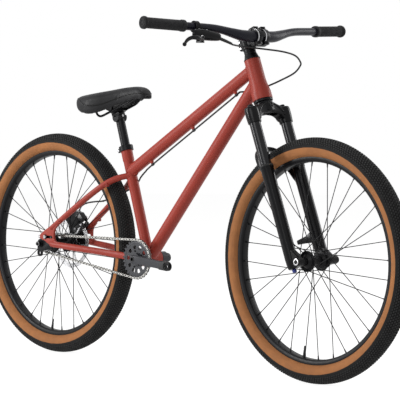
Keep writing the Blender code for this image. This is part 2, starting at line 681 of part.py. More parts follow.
def rim_profile():
    """Section of the rim: a shallow box with a flange and a seat for each bead."""
    y = RIM_HALF_WIDTH
    left = [(RIM_INNER_RADIUS, y - 0.0060), (RIM_INNER_RADIUS + 0.0040, y - 0.0008),
            (BEAD_RADIUS - 0.0009, y), (BEAD_RADIUS - 0.0009, y - 0.0014),
            (BEAD_RADIUS - 0.0056, y - 0.0022)]
    right = [(radius, -y_) for radius, y_ in reversed(left)]
    return left + right


def make_spokes(name, axis, right_flange, left_flange, phase):
    """A narrow band inside the rim, with a spoke drawn from each of its pads to a flange hole."""
    outer = RIM_INNER_RADIUS * math.cos(math.pi / WHEEL_SIDES) - GAP
    inner = outer - 0.0014
    pad = SPOKE_WIDTH / 2 / inner
    holes = SPOKES // 2
    step = 2 * math.pi / SPOKES
    bm = bmesh.new()
    stations = []
    for k in range(SPOKES):
        for turn in (k * step - pad, k * step + pad):
            ring = [(inner, -SPOKE_WIDTH / 2), (inner, SPOKE_WIDTH / 2), (outer, SPOKE_WIDTH / 2),
                    (outer, -SPOKE_WIDTH / 2)]
            stations.append([bm.verts.new((radius * math.cos(turn), radius * math.sin(turn), z))
                             for radius, z in ring])
    pads = []
    count = len(stations)
    for k in range(count):
        near = stations[k]
        far = stations[(k + 1) % count]
        for i in range(4):
            j = (i + 1) % 4
            face = bm.faces.new((near[i], near[j], far[j], far[i]))
            if i == 0 and k % 2 == 0:
                pads.append(face)
    cross = 3 * 2 * math.pi / holes
    for k, face in enumerate(pads):
        flange = right_flange if k % 2 == 0 else left_flange
        lean = cross if (k // 2 + k) % 2 else -cross
        turn = k * step + lean
        hole = Vector((SPOKE_HOLE_RADIUS * math.cos(turn), SPOKE_HOLE_RADIUS * math.sin(turn), flange))
        made = bmesh.ops.extrude_discrete_faces(bm, faces=[face])
        tip = made["faces"][0]
        centre = tip.calc_center_median()
        bmesh.ops.translate(bm, verts=tip.verts, vec=hole - centre)
    bm.transform(Matrix.Rotation(math.radians(-phase), 4, "Z"))
    add_mesh(name, bm, BLACK_SATIN, axis)


def make_wheel(end, axis):
    add_mesh(end + "_tyre", lathe(tyre_profile(), WHEEL_SIDES), RUBBER, axis)
    add_mesh(end + "_rim", lathe(rim_profile(), WHEEL_SIDES), BLACK_SATIN, axis)


def hub_profile(bore, ends, right, left, core, cap):
    """Turned hub body between two flanges, with a smaller cap at each end."""
    half = FLANGE_THICKNESS / 2
    rim = FLANGE_RADIUS
    return [(bore, ends[0]), (cap, ends[0]), (cap, right - 0.0090), (core + 0.0035, right - 0.0060),
            (core + 0.0035, right - half), (rim, right - half), (rim, right + half),
            (core + 0.0030, right + half), (core, right + 0.010), (core, left - 0.010),
            (core + 0.0030, left - half), (rim, left - half), (rim, left + half),
            (core + 0.0030, left + half)]


def make_front_hub(axis):
    bore = FRONT_AXLE_RADIUS + GAP
    half = HUB_WIDTH_FRONT / 2 - GAP
    disc_seat = 0.0380
    profile = hub_profile(bore, (-half, half), FRONT_FLANGES[0], FRONT_FLANGES[1], 0.0135, 0.0120)
    profile += [(0.0165, disc_seat - 0.004), (0.0220, disc_seat - 0.003), (0.0220, disc_seat),
                (0.0170, disc_seat), (0.0120, disc_seat + 0.001), (0.0120, half), (bore, half)]
    add_mesh("front_hub", lathe(profile, ROUND), BLACK_SATIN, axis)


def make_rear_hub(axis):
    bore = REAR_AXLE_RADIUS + GAP
    half = HUB_WIDTH_REAR / 2 - GAP
    disc_seat = ROTOR_Y - ROTOR_THICKNESS / 2 - GAP
    profile = hub_profile(bore, (-half, half), REAR_FLANGES[0], REAR_FLANGES[1], 0.0150, 0.0100)
    profile += [(0.0175, disc_seat - 0.004), (0.0225, disc_seat - 0.003), (0.0225, disc_seat),
                (0.0172, disc_seat), (0.0172, ROTOR_Y + 0.0015), (0.0100, ROTOR_Y + 0.0025),
                (0.0100, half), (bore, half)]
    add_mesh("rear_hub", lathe(profile, ROUND), BLACK_SATIN, axis)


def make_axles(front_axis, rear_axis):
    reach = LEG_Y + LEG_RADIUS - 0.0016
    head = 0.0105
    front = [(0.0, -reach), (FRONT_AXLE_RADIUS, -reach), (FRONT_AXLE_RADIUS, reach + GAP),
             (head, reach + GAP), (head, reach + 0.0045), (0.0, reach + 0.0045)]
    add_mesh("front_axle", lathe(front, 20), BLACK_SATIN, front_axis)
    nut = SLIDER_OUTER_Y + GAP
    tip = nut + 0.0145
    wide = 0.0105
    rear = [(0.0, -tip), (REAR_AXLE_RADIUS, -tip), (REAR_AXLE_RADIUS, -nut - 0.0110),
            (wide, -nut - 0.0110), (wide, -nut), (REAR_AXLE_RADIUS, -nut), (REAR_AXLE_RADIUS, nut),
            (wide, nut), (wide, nut + 0.0110), (REAR_AXLE_RADIUS, nut + 0.0110),
            (REAR_AXLE_RADIUS, tip), (0.0, tip)]
    add_mesh("rear_axle", lathe(rear, 20), BLACK_SATIN, rear_axis)


# Drive

def toothed_outline(teeth, pitch_radius):
    """Outline of a sprocket: three points a tooth, one at the root and two at the tip."""
    root = pitch_radius - 0.0036
    tip = pitch_radius + 0.0030
    points = []
    for k in range(teeth):
        for share, radius in ((-0.50, root), (-0.16, tip), (0.16, tip)):
            turn = 2 * math.pi * (k + share) / teeth
            points.append((radius * math.cos(turn), radius * math.sin(turn)))
    return points


def flat_disc(outline, z_low, z_high):
    """An (x, y) outline extruded along local Z."""
    bm = bmesh.new()
    face = bm.faces.new([bm.verts.new((x, y, z_low)) for x, y in outline])
    made = bmesh.ops.extrude_face_region(bm, geom=[face])
    top = [v for v in made["geom"] if isinstance(v, bmesh.types.BMVert)]
    bmesh.ops.translate(bm, verts=top, vec=(0.0, 0.0, z_high - z_low))
    return bm


def make_chainring(crank_axis):
    y = -CHAIN_LINE
    half = RING_THICKNESS / 2
    blank = flat_disc(toothed_outline(RING_TEETH, RING_RADIUS), y - half, y + half)
    ring = add_mesh("chainring", blank, DARK_GREY, crank_axis)
    hub_bore = rod((0, 0, y - 0.01), (0, 0, y + 0.01), CRANK_HUB_RADIUS + GAP, ROUND)
    hub = add_mesh("chainring_bore", hub_bore, parent=crank_axis)
    carve(ring, hub)
    windows = 6
    for k in range(windows):
        turn = 2 * math.pi * (k + 0.5) / windows
        x = 0.0365 * math.cos(turn)
        z = 0.0365 * math.sin(turn)
        opening = rod((x, z, y - 0.01), (x, z, y + 0.01), 0.0085, 8)
        window = add_mesh("chainring_window_%d" % k, opening, parent=crank_axis)
        carve(ring, window)


def make_sprocket(cog_axis):
    y = -CHAIN_LINE
    half = RING_THICKNESS / 2
    blank = flat_disc(toothed_outline(COG_TEETH, COG_RADIUS), y - half, y + half)
    cog = add_mesh("rear_sprocket", blank, SILVER, cog_axis)
    driver = lathe([(0.0, y - 0.0040), (0.0170, y - 0.0040), (0.0170, REAR_FLANGES[0] - 0.0095),
                    (0.0, REAR_FLANGES[0] - 0.0095)], 24)
    weld(cog, add_mesh("driver_barrel", driver, parent=cog_axis))
    bore = rod((0, 0, y - 0.02), (0, 0, 0), 0.0100 + GAP, 24)
    carve(cog, add_mesh("driver_bore", bore, parent=cog_axis))


def crank_arm(sign):
    """Arm from the spindle to the pedal eye, as a tapered bar that leans outward."""
    root = -0.0095 if sign < 0 else -0.0150
    eye_radius = 0.0132
    outer_hub = 0.0690
    inner_hub = 0.0550
    outer_eye = PEDAL_FACE_Y - 0.0010
    inner_eye = PEDAL_FACE_Y - 0.0122
    half = [(root, 0.0085), (root + 0.0035, 0.0120), (0.020, 0.0124), (0.070, 0.0120),
            (CRANK_LENGTH - 0.015, 0.0116)]
    other_half = [(x, -h) for x, h in reversed(half)]
    outline = half + disc_outline(CRANK_LENGTH, 0, eye_radius, 80, -80, 8) + other_half
    bm = bmesh.new()
    rings = []
    for hub_y, eye_y in ((inner_hub, inner_eye), (outer_hub, outer_eye)):
        ring = []
        for x, h in outline:
            share = min(max((x - 0.015) / (CRANK_LENGTH - 0.030), 0.0), 1.0)
            ring.append(bm.verts.new((x, h, sign * (hub_y + (eye_y - hub_y) * share))))
        rings.append(ring)
    count = len(outline)
    for i in range(count):
        j = (i + 1) % count
        bm.faces.new((rings[0][i], rings[0][j], rings[1][j], rings[1][i]))
    bmesh.ops.triangulate(bm, faces=[bm.faces.new(rings[0]), bm.faces.new(list(reversed(rings[1])))])
    return bm


def make_crank(side, sign, crank_axis):
    """Right arm forward, left arm back. The right one carries the spindle."""
    forward = 1 if sign < 0 else -1
    turn = math.radians(CRANK_DROP_ANGLE) if forward > 0 else math.radians(CRANK_DROP_ANGLE + 180)
    place = Matrix.Rotation(turn, 4, "Z")
    arm_mesh = crank_arm(sign)
    arm_mesh.transform(place)
    arm = add_mesh(side + "_crank", arm_mesh, DARK_GREY, crank_axis, 30.0)
    eye = place @ Vector((CRANK_LENGTH, 0, 0))
    face = sign * PEDAL_FACE_Y
    boss = add_mesh(side + "_pedal_boss", rod((eye.x, eye.y, face - sign * 0.0125), (eye.x, eye.y, face),
                                              0.0124, ROUND), parent=crank_axis)
    hub_inner = sign * (BB_SHELL_WIDTH / 2 + 0.0034 + 0.0006)
    hub_bar = rod((0, 0, hub_inner), (0, 0, sign * 0.0600), CRANK_HUB_RADIUS, ROUND)
    hub = add_mesh(side + "_crank_hub", hub_bar, parent=crank_axis)
    weld(arm, boss, hub)
    if sign < 0:
        spindle = add_mesh("crank_spindle", rod((0, 0, -0.0600), (0, 0, 0.0660), SPINDLE_RADIUS, ROUND),
                           parent=crank_axis)
        weld(arm, spindle)
    else:
        cap = rod((0, 0, 0.0650), (0, 0, 0.0770), 0.0136, ROUND)
        weld(arm, add_mesh("spindle_cap", cap, parent=crank_axis))
        bore = rod((0, 0, 0.0300), (0, 0, 0.0660 + GAP), SPINDLE_RADIUS + GAP, ROUND)
        carve(arm, add_mesh("spindle_bore", bore, parent=crank_axis))
    hole = add_mesh(side + "_pedal_hole", rod((eye.x, eye.y, face - sign * 0.030),
                                              (eye.x, eye.y, face + sign * 0.010), 0.0070, 12),
                    parent=crank_axis)
    carve(arm, hole)


def chain_loop(offset):
    """Points round the chainring and the sprocket, offset outward from the chain's centre line."""
    ring = RING_RADIUS + offset
    cog = COG_RADIUS + offset
    line = REAR_HUB - CRANK_CENTRE
    distance = line.length
    heading = math.atan2(line.z, line.x)
    lean = math.acos((RING_RADIUS - COG_RADIUS) / distance)
    ring_points = []
    for k in range(13):
        turn = heading + lean + (2 * math.pi - 2 * lean) * k / 12
        ring_points.append(Vector((CRANK_CENTRE.x + ring * math.cos(turn),
                                   CRANK_CENTRE.z + ring * math.sin(turn))))
    cog_points = []
    for k in range(8):
        turn = heading - lean + 2 * lean * k / 7
        cog_points.append(Vector((REAR_HUB.x + cog * math.cos(turn), REAR_HUB.z + cog * math.sin(turn))))
    shares = [(k + 1.5) / (RUN_ROLLERS + 1) for k in range(RUN_ROLLERS - 1)]
    lower = [ring_points[-1].lerp(cog_points[0], share) for share in shares]
    upper = [cog_points[-1].lerp(ring_points[0], share) for share in shares]
    return ring_points + lower + cog_points + upper


def chain_rollers():
    """The first loop point of each stretch that holds a roller, with the roller's centre and heading."""
    centre = chain_loop(0.0)
    count = len(centre)
    rollers = []
    for first in (12, count - RUN_ROLLERS):
        start = centre[first]
        end = centre[(first + RUN_ROLLERS) % count]
        for k in range(RUN_ROLLERS):
            rollers.append((first + k, start.lerp(end, (k + 1) / (RUN_ROLLERS + 1)), end - start))
    return rollers


def make_chain():
    """Two rows of plates that pass beside the teeth, joined by six-sided rollers along the free runs."""
    half_height = 0.0040
    inside = 0.0016
    outside = 0.0030
    roller_radius = 0.0036
    outer = chain_loop(half_height)
    inner = chain_loop(-half_height)
    count = len(outer)
    rollers = chain_rollers()
    bm = bmesh.new()
    ends = []
    for sign in (-1, 1):
        near = -CHAIN_LINE + sign * inside
        far = -CHAIN_LINE + sign * outside
        loops = [[bm.verts.new((x, y, z)) for x, z in outline]
                 for outline, y in ((outer, near), (outer, far), (inner, far), (inner, near))]
        for a, b in ((0, 1), (1, 2), (2, 3)):
            for i in range(count):
                j = (i + 1) % count
                bm.faces.new((loops[a][i], loops[a][j], loops[b][j], loops[b][i]))
        rings = {}
        for first, point, along in rollers:
            heading = math.atan2(along.y, along.x)
            rings[first] = [bm.verts.new((point.x + roller_radius * math.cos(heading + k * math.pi / 3), near,
                                          point.y + roller_radius * math.sin(heading + k * math.pi / 3)))
                            for k in range(6)]
        for i in range(count):
            j = (i + 1) % count
            inner_back, inner_ahead, outer_ahead, outer_back = loops[3][i], loops[3][j], loops[0][j], loops[0][i]
            if i not in rings:
                bm.faces.new((inner_back, inner_ahead, outer_ahead, outer_back))
                continue
            front, front_in, back_in, back, back_out, front_out = rings[i]
            for face in ((outer_ahead, front, inner_ahead), (inner_ahead, front, front_in),
                         (inner_back, inner_ahead, front_in, back_in), (inner_back, back_in, back),
                         (inner_back, back, outer_back), (outer_back, back, back_out),
                         (outer_ahead, outer_back, back_out, front_out), (outer_ahead, front_out, front)):
                bm.faces.new(face)
        ends.append(rings)
    for first in ends[0]:
        for k in range(6):
            m = (k + 1) % 6
            bm.faces.new((ends[0][first][k], ends[0][first][m], ends[1][first][m], ends[1][first][k]))
    add_mesh("chain", bm, SILVER)


# Fork, in the steering frame

def make_crown(steering):
    steer_top = STEM_BASE + STEM_HEIGHT - 0.0015
    steerer = [(0.0, -0.030), (0.0255, -0.030), (0.0255, -0.004), (0.0240, 0.0), (STEERER_BASE_RADIUS, 0.0),
               (STEERER_BASE_RADIUS, 0.030), (STEERER_RADIUS, 0.062), (STEERER_RADIUS, steer_top),
               (0.0, steer_top)]
    crown = add_mesh("fork_crown", lathe(steerer, ROUND), BLACK_PAINT, steering)
    half = [(0.0, -0.0015), (LEG_Y - 0.0360, -0.0060), (LEG_Y - 0.0190, -0.0135), (LEG_Y - 0.0030, -0.0215),
            (LEG_Y - 0.0030, -0.0560), (LEG_Y - 0.0165, -0.0560), (LEG_Y - 0.0230, -0.0450),
            (LEG_Y - 0.0360, -0.0370), (0.0, -0.0335)]
    outline = half + [(-y, z) for y, z in reversed(half[1:-1])]
    bridge = slab(outline, LEG_FORWARD - 0.0185, LEG_FORWARD + 0.0155)
    weld(crown, add_mesh("crown_bridge", bridge, parent=steering))
    for side, sign in (("right", -1), ("left", 1)):
        socket = lathe([(0.0, CROWN_BOTTOM), (SOCKET_RADIUS - 0.0012, CROWN_BOTTOM),
                        (SOCKET_RADIUS, -0.040), (SOCKET_RADIUS - 0.0004, CROWN_TOP - 0.006),
                        (STANCHION_RADIUS + 0.0014, CROWN_TOP), (0.0, CROWN_TOP)],
                       ROUND, Matrix.Translation((LEG_FORWARD, sign * LEG_Y, 0.0)))
        weld(crown, add_mesh(side + "_socket", socket, parent=steering))
    for side, sign in (("right", -1), ("left", 1)):
        centre = (LEG_FORWARD, sign * LEG_Y)
        bore = rod((*centre, CROWN_BOTTOM - 0.02), (*centre, CROWN_TOP + 0.02),
                   STANCHION_RADIUS + GAP, ROUND)
        carve(crown, add_mesh(side + "_socket_bore", bore, parent=steering))


def make_stanchions(steering):
    """Hollow legs, closed at the top by a cap."""
    bore = STANCHION_RADIUS - 0.0025
    cap = CROWN_TOP + 0.0085
    rim = CROWN_TOP + 0.0005
    profile = [(0.0, cap), (0.0070, cap), (0.0080, cap - 0.0015), (0.0085, rim), (STANCHION_RADIUS, rim),
               (STANCHION_RADIUS, STANCHION_BOTTOM),
               (bore, STANCHION_BOTTOM), (bore, CROWN_TOP - 0.012), (0.0, CROWN_TOP - 0.012)]
    for side, sign in (("right", -1), ("left", 1)):
        place = Matrix.Translation((LEG_FORWARD, sign * LEG_Y, 0.0))
        add_mesh(side + "_stanchion", lathe(profile, ROUND, place), ANODISED, steering)


ARCH_PATH = [(-0.0060, -0.0070, -0.2150), (-0.0180, -0.0095, -0.1920), (-0.0270, -0.0125, -0.1680),
             (-0.0325, -0.0195, -0.1450), (-0.0355, -0.0350, -0.1300)]
ARCH_MIDDLE = (-0.0365, 0.0, -0.1255)


def make_lowers(steering):
    """One casting: two legs, the arch behind them, the axle eyes and the brake posts."""
    bore = STANCHION_RADIUS + GAP
    bore_bottom = STANCHION_BOTTOM - FORK_TRAVEL - 0.006
    leg_profile = [(0.0, LEG_BOTTOM), (0.0130, LEG_BOTTOM), (LEG_RADIUS - 0.0016, LEG_BOTTOM + 0.007),
                   (LEG_RADIUS - 0.0005, bore_bottom - 0.014), (LEG_RADIUS, LOWERS_TOP - 0.010),
                   (LEG_RADIUS + 0.0012, LOWERS_TOP - 0.007), (LEG_RADIUS + 0.0012, LOWERS_TOP - 0.001),
                   (LEG_RADIUS + 0.0002, LOWERS_TOP), (0.0, LOWERS_TOP)]
    places = [Matrix.Translation((LEG_FORWARD, sign * LEG_Y, 0.0)) for sign in (-1, 1)]
    lowers = add_mesh("fork_lowers", lathe(leg_profile, 16, places[0]), BLACK_PAINT, steering)
    weld(lowers, add_mesh("left_leg", lathe(leg_profile, 16, places[1]), parent=steering))
    left = shifted(ARCH_PATH, Vector((0.0, LEG_Y, 0.0)))
    path = [*left, Vector(ARCH_MIDDLE), *[Vector((p.x, -p.y, p.z)) for p in reversed(left)]]
    rings = []
    for i, point in enumerate(path):
        ahead = path[min(i + 1, len(path) - 1)]
        behind = path[max(i - 1, 0)]
        along = (ahead - behind).normalized()
        rise = along.cross(Vector((1, 0, 0))).normalized()
        depth = Vector((0.0085, 0, 0))
        thick = rise * 0.0062
        rings.append([point + depth + thick * 0.6, point + depth * 0.6 + thick, point - depth * 0.6 + thick,
                      point - depth + thick * 0.6, point - depth - thick * 0.6, point - depth * 0.6 - thick,
                      point + depth * 0.6 - thick, point + depth - thick * 0.6])
    weld(lowers, add_mesh("fork_arch", loft(rings), parent=steering))
    inner = HUB_WIDTH_FRONT / 2
    outer = LEG_Y + LEG_RADIUS - 0.0020
    axle_z = -FORK_LENGTH
    for side, sign in (("right", -1), ("left", 1)):
        low, high = sorted((sign * inner, sign * outer))
        eye = across(FORK_OFFSET, axle_z, low, high, 0.0125, 20)
        web_outline = [(LEG_FORWARD - 0.004, axle_z + 0.055), (FORK_OFFSET + 0.0085, axle_z + 0.0085),
                       (FORK_OFFSET + 0.002, axle_z - 0.0118), (LEG_FORWARD - 0.004, axle_z - 0.0095)]
        web = plate(web_outline, low + 0.0010, high - 0.0060 if sign > 0 else high - 0.0010)
        weld(lowers, add_mesh(side + "_web", web, parent=steering),
             add_mesh(side + "_eye", eye, parent=steering))
    post = plate([(-0.0560, axle_z + 0.0860), (-0.0560, axle_z + 0.0740), (-0.0020, axle_z + 0.0640),
                  (-0.0020, axle_z + 0.0860)],
                 LEG_Y - 0.0170, LEG_Y - 0.0060)
    weld(lowers, add_mesh("brake_post", post, parent=steering))
    for side, sign in (("right", -1), ("left", 1)):
        leg_bore = rod((LEG_FORWARD, sign * LEG_Y, bore_bottom),
                       (LEG_FORWARD, sign * LEG_Y, LOWERS_TOP + 0.040), bore, ROUND)
        carve(lowers, add_mesh(side + "_leg_bore", leg_bore, parent=steering))
    for side, sign in (("right", -1), ("left", 1)):
        shaft = rod((LEG_FORWARD, sign * LEG_Y, axle_z + 0.005),
                    (LEG_FORWARD, sign * LEG_Y, STANCHION_BOTTOM + 0.100), 0.0050, 10)
        weld(lowers, add_mesh(side + "_inner_shaft", shaft, parent=steering))
    hole = across(FORK_OFFSET, axle_z, -0.1, 0.1, FRONT_AXLE_RADIUS + GAP, 20)
    carve(lowers, add_mesh("axle_hole", hole, parent=steering))


def make_rebound_knob(steering):
    """Knob under the right leg, on the damper rod's axis."""
    top = LEG_BOTTOM - GAP
    profile = [(0.0, top), (0.0050, top), (0.0062, top - 0.0015), (0.0062, top - 0.0080),
               (0.0050, top - 0.0095), (0.0, top - 0.0095)]
    place = Matrix.Translation((LEG_FORWARD, -LEG_Y, 0.0))
    add_mesh("rebound_knob", lathe(profile, 12, place), BLUE, steering)


# Stem and bars

def make_stem(steering):
    clamp_radius = 0.0200
    low = STEM_BASE
    high = STEM_BASE + STEM_HEIGHT
    mid = STEM_CENTRE
    body = add_mesh("stem", rod((0, 0, low), (0, 0, high), clamp_radius, ROUND), BLACK_SATIN, steering)
    cap = lathe([(0.0, high - 0.001), (0.0165, high - 0.001), (0.0165, high + 0.0035),
                 (0.0150, high + 0.0045), (0.0, high + 0.0045)], 24)
    neck = block((0.004, -0.0165, mid - 0.0160), (STEM_LENGTH - 0.012, 0.0165, mid + 0.0160))
    half_height = 0.0265
    jaw_front = STEM_LENGTH - 0.0008
    jaw_outline = [(0.0255, mid + 0.0130), (0.0385, mid + half_height), (jaw_front, mid + half_height),
                   (jaw_front, mid - half_height), (0.0330, mid - half_height), (0.0255, mid - 0.0160)]
    jaw = plate(jaw_outline, -0.0235, 0.0235)
    ears = block((-0.0270, -0.0100, low + 0.0030), (-0.0150, 0.0100, high - 0.0040))
    for name, bm in (("neck", neck), ("jaw", jaw), ("ears", ears)):
        weld(body, add_mesh("stem_" + name, bm, parent=steering))
    bar_hole = across(STEM_LENGTH, mid, -0.05, 0.05, snug(BAR_CLAMP_RADIUS, ROUND), ROUND)
    bore = rod((0, 0, low - 0.01), (0, 0, high + 0.01), STEERER_RADIUS + GAP, ROUND)
    split = block((-0.0400, -0.0009, low - 0.01), (-0.0100, 0.0009, high + 0.01))
    for name, bm in (("bar_hole", bar_hole), ("bore", bore), ("split", split)):
        carve(body, add_mesh("stem_" + name, bm, parent=steering))
    weld(body, add_mesh("stem_cap", cap, parent=steering))

    x = STEM_LENGTH
    shell = 0.0215
    arc = disc_outline(x, mid, shell, 62, -62, 8)
    face_outline = [(x + 0.0008, mid + half_height), (x + 0.0105, mid + half_height), *arc,
                    (x + 0.0105, mid - half_height), (x + 0.0008, mid - half_height)]
    face = add_mesh("stem_faceplate", plate(face_outline, -0.0235, 0.0235), BLACK_SATIN, steering)
    face_hole = across(x, mid, -0.05, 0.05, snug(BAR_CLAMP_RADIUS, ROUND), ROUND)
    carve(face, add_mesh("face_bar_hole", face_hole, parent=steering))
    for name, z_low, z_high in (("upper", mid + 0.0085, mid + 0.05), ("lower", mid - 0.05, mid - 0.0085)):
        window = block((x - 0.01, -0.0055, z_low), (x + 0.04, 0.0055, z_high))
        carve(face, add_mesh("face_window_" + name, window, parent=steering))


# Bends of the bar: forward, share of the half width, up
BAR_BENDS = [(0.0000, 0.00000, 0.0000), (0.0000, 0.08142, 0.0000), (-0.0035, 0.16539, 0.0015),
             (-0.0085, 0.25445, 0.0080), (-0.0130, 0.34351, 0.0148), (-0.0182, 0.43766, 0.0188),
             (-0.0280, 0.61069, 0.0215), (-0.0500, 1.00000, 0.0275)]
BAR_POINTS = [(x, share * BAR_HALF_WIDTH, z) for x, share, z in BAR_BENDS]


def bar_radius(y):
    """Share of the clamp radius at a distance from the middle."""
    thin = BAR_RADIUS / BAR_CLAMP_RADIUS
    share = min(max((abs(y) - 0.050) / 0.090, 0.0), 1.0)
    return 1 + (thin - 1) * share


def bar_at(y):
    """Point on the straight outer part of the bar."""
    start = Vector(BAR_POINTS[-2])
    end = Vector(BAR_POINTS[-1])
    return start.lerp(end, (abs(y) - start.y) / (end.y - start.y))


def make_handlebar(bar_frame):
    half = smooth_path(BAR_POINTS, 2)
    right = [Vector((p.x, -p.y, p.z)) for p in reversed(half[1:])]
    points = right + list(half)
    radii = [bar_radius(p.y) for p in points]
    add_wire("handlebar", points, BAR_CLAMP_RADIUS, BAR_BLACK, bar_frame, 3, radii)


def make_grip(side, sign, bar_frame):
    """Rubber sleeve closed at the bar's end, with a collar inboard and a flange outboard."""
    outer_y = BAR_HALF_WIDTH + GRIP_END
    inner_y = outer_y - GRIP_LENGTH
    start = bar_at(inner_y)
    end = bar_at(outer_y)
    if sign < 0:
        start.y, end.y = -start.y, -end.y
    length = (end - start).length
    bore = BAR_RADIUS + GAP
    depth = length - 0.0042
    profile = [(0.0, depth), (bore, depth), (bore, 0.0), (0.0162, 0.0), (0.0166, 0.0020), (0.0166, 0.0110),
               (GRIP_RADIUS, 0.0130), (GRIP_RADIUS, length - 0.0100), (0.0178, length - 0.0085),
               (0.0178, length - 0.0030), (0.0155, length), (0.0, length)]
    bm = lathe(profile, 20, facing(start, end))
    add_mesh(side + "_grip", bm, GRIP_RUBBER, bar_frame)


BOOT_PATH = [(-0.0085, 0.0720, 0.0060), (-0.0050, 0.0940, -0.0010), (-0.0023, 0.1165, -0.0086)]


def lever_pivot():
    """Place of the lever's pin in the bar's frame."""
    centre = bar_at(LEVER_CLAMP_Y)
    return Vector((centre.x + 0.0377, LEVER_CLAMP_Y - 0.0100, centre.z - 0.0359))


def make_brake_controls(bar_frame):
    pivot = lever_pivot()
    centre = bar_at(LEVER_CLAMP_Y)
    centre.y = LEVER_CLAMP_Y
    along = (Vector(BAR_POINTS[-1]) - Vector(BAR_POINTS[-2])).normalized()
    along.y = -along.y
    half = along * 0.0070
    clamp = rod(centre - half, centre + half, 0.0165, 20)
    body = add_mesh("brake_master_cylinder", clamp, BLACK_PAINT, bar_frame)
    neck_path = [centre + Vector((0.006, 0.004, -0.006)),
                 *shifted([(-0.0180, 0.0060, 0.0140), (-0.0120, 0.0080, 0.0070)], pivot)]
    neck = sweep(neck_path, [(0.0075, 0.0085), (0.0080, 0.0090), (0.0080, 0.0090)], 10)
    tank_path = shifted([(-0.0205, -0.0140, 0.0150), (-0.0190, -0.0100, 0.0145), (-0.0165, 0.0140, 0.0140),
                         (-0.0115, 0.0490, 0.0110), (-0.0085, 0.0720, 0.0085),
                         (-0.0080, 0.0755, 0.0080)], pivot)
    tank = sweep(tank_path, [(0.0060, 0.0100), (0.0105, 0.0150), (0.0115, 0.0160), (0.0105, 0.0135),
                             (0.0090, 0.0100), (0.0050, 0.0060)], 10)
    boot = sweep(shifted(BOOT_PATH, pivot), [(0.0048, 0.0048), (0.0042, 0.0042), (0.0034, 0.0034)], 10)
    ear_high = rod(pivot + Vector((0, 0, 0.0044)), pivot + Vector((0, 0, 0.0090)), 0.0065, 14)
    ear_low = rod(pivot - Vector((0, 0, 0.0090)), pivot - Vector((0, 0, 0.0044)), 0.0065, 14)
    high_arm = block(*shifted([(-0.0150, -0.0055, 0.0046), (0.0000, 0.0055, 0.0088)], pivot))
    low_arm = block(*shifted([(-0.0150, -0.0055, -0.0088), (0.0000, 0.0055, -0.0046)], pivot))
    back_arm = block(*shifted([(-0.0185, -0.0055, -0.0086), (-0.0130, 0.0055, 0.0140)], pivot))
    for name, bm in (("neck", neck), ("tank", tank), ("boot", boot), ("back_arm", back_arm),
                     ("high_arm", high_arm), ("low_arm", low_arm),
                     ("ear_high", ear_high), ("ear_low", ear_low)):
        weld(body, add_mesh("master_" + name, bm, parent=bar_frame))
    bar_hole = rod(centre - along * 0.04, centre + along * 0.04, BAR_RADIUS + GAP, 20)
    carve(body, add_mesh("master_bar_hole", bar_hole, parent=bar_frame))

    eye = rod(pivot - Vector((0, 0, 0.0040)), pivot + Vector((0, 0, 0.0040)), 0.0062, 14)
    lever = add_mesh("brake_lever", eye, BLACK_SATIN, bar_frame)
    blade_path = [pivot + Vector(step) for step in ((0.001, -0.001, 0.0), (0.012, -0.012, 0.0),
                  (0.020, -0.028, 0.0035), (0.0215, -0.046, 0.0040), (0.0200, -0.062, 0.0020),
                  (0.0200, -0.076, -0.0050), (0.0220, -0.087, -0.0155))]
    blade = sweep(smooth_path(blade_path, 2), [(0.0040, 0.0036), (0.0038, 0.0036), (0.0036, 0.0040),
                  (0.0034, 0.0046), (0.0032, 0.0052), (0.0030, 0.0055), (0.0030, 0.0056), (0.0030, 0.0056),
                  (0.0030, 0.0055), (0.0030, 0.0053), (0.0034, 0.0052), (0.0042, 0.0052),
                  (0.0040, 0.0042)], 10)
    weld(lever, add_mesh("lever_blade", blade, parent=bar_frame))


# Brake hose

HOSE_FROM_LEVER = [(0.0005, 0.0015, -0.0019), (-0.0037, 0.0225, -0.0039)]
HOSE_LOOP = [(0.0035, -0.0700, -0.0295), (0.0090, -0.0450, -0.0315), (0.0260, -0.0050, -0.0355),
             (0.0580, 0.0340, -0.0420), (0.0865, 0.0550, -0.0530), (0.1005, 0.0620, -0.0710),
             (0.0995, 0.0615, -0.0825), (0.0820, 0.0560, -0.1020)]
HOSE_TO_GUIDE = [(0.1292, 0.0450, 0.0412), (0.0952, 0.0370, 0.0277), (0.0642, 0.0310, 0.0172),
                 (0.0312, 0.0150, 0.0102)]
HOSE_PAST_SEAT = [(-0.0327, 0.0000, -0.0224), (-0.0557, 0.0040, -0.0384), (-0.0737, 0.0140, -0.0484),
                  (-0.0887, 0.0225, -0.0554), (-0.1077, 0.0330, -0.0629), (-0.1357, 0.0440, -0.0734)]
HOSE_TO_CALIPER = [(0.2120, 0.0480, 0.0930), (0.1670, 0.0485, 0.0780), (0.1220, 0.0500, 0.0665),
                   (0.0820, 0.0510, 0.0630), (0.0420, 0.0520, 0.0570), (0.0170, 0.0520, 0.0460),
                   (0.0080, 0.0520, 0.0345)]


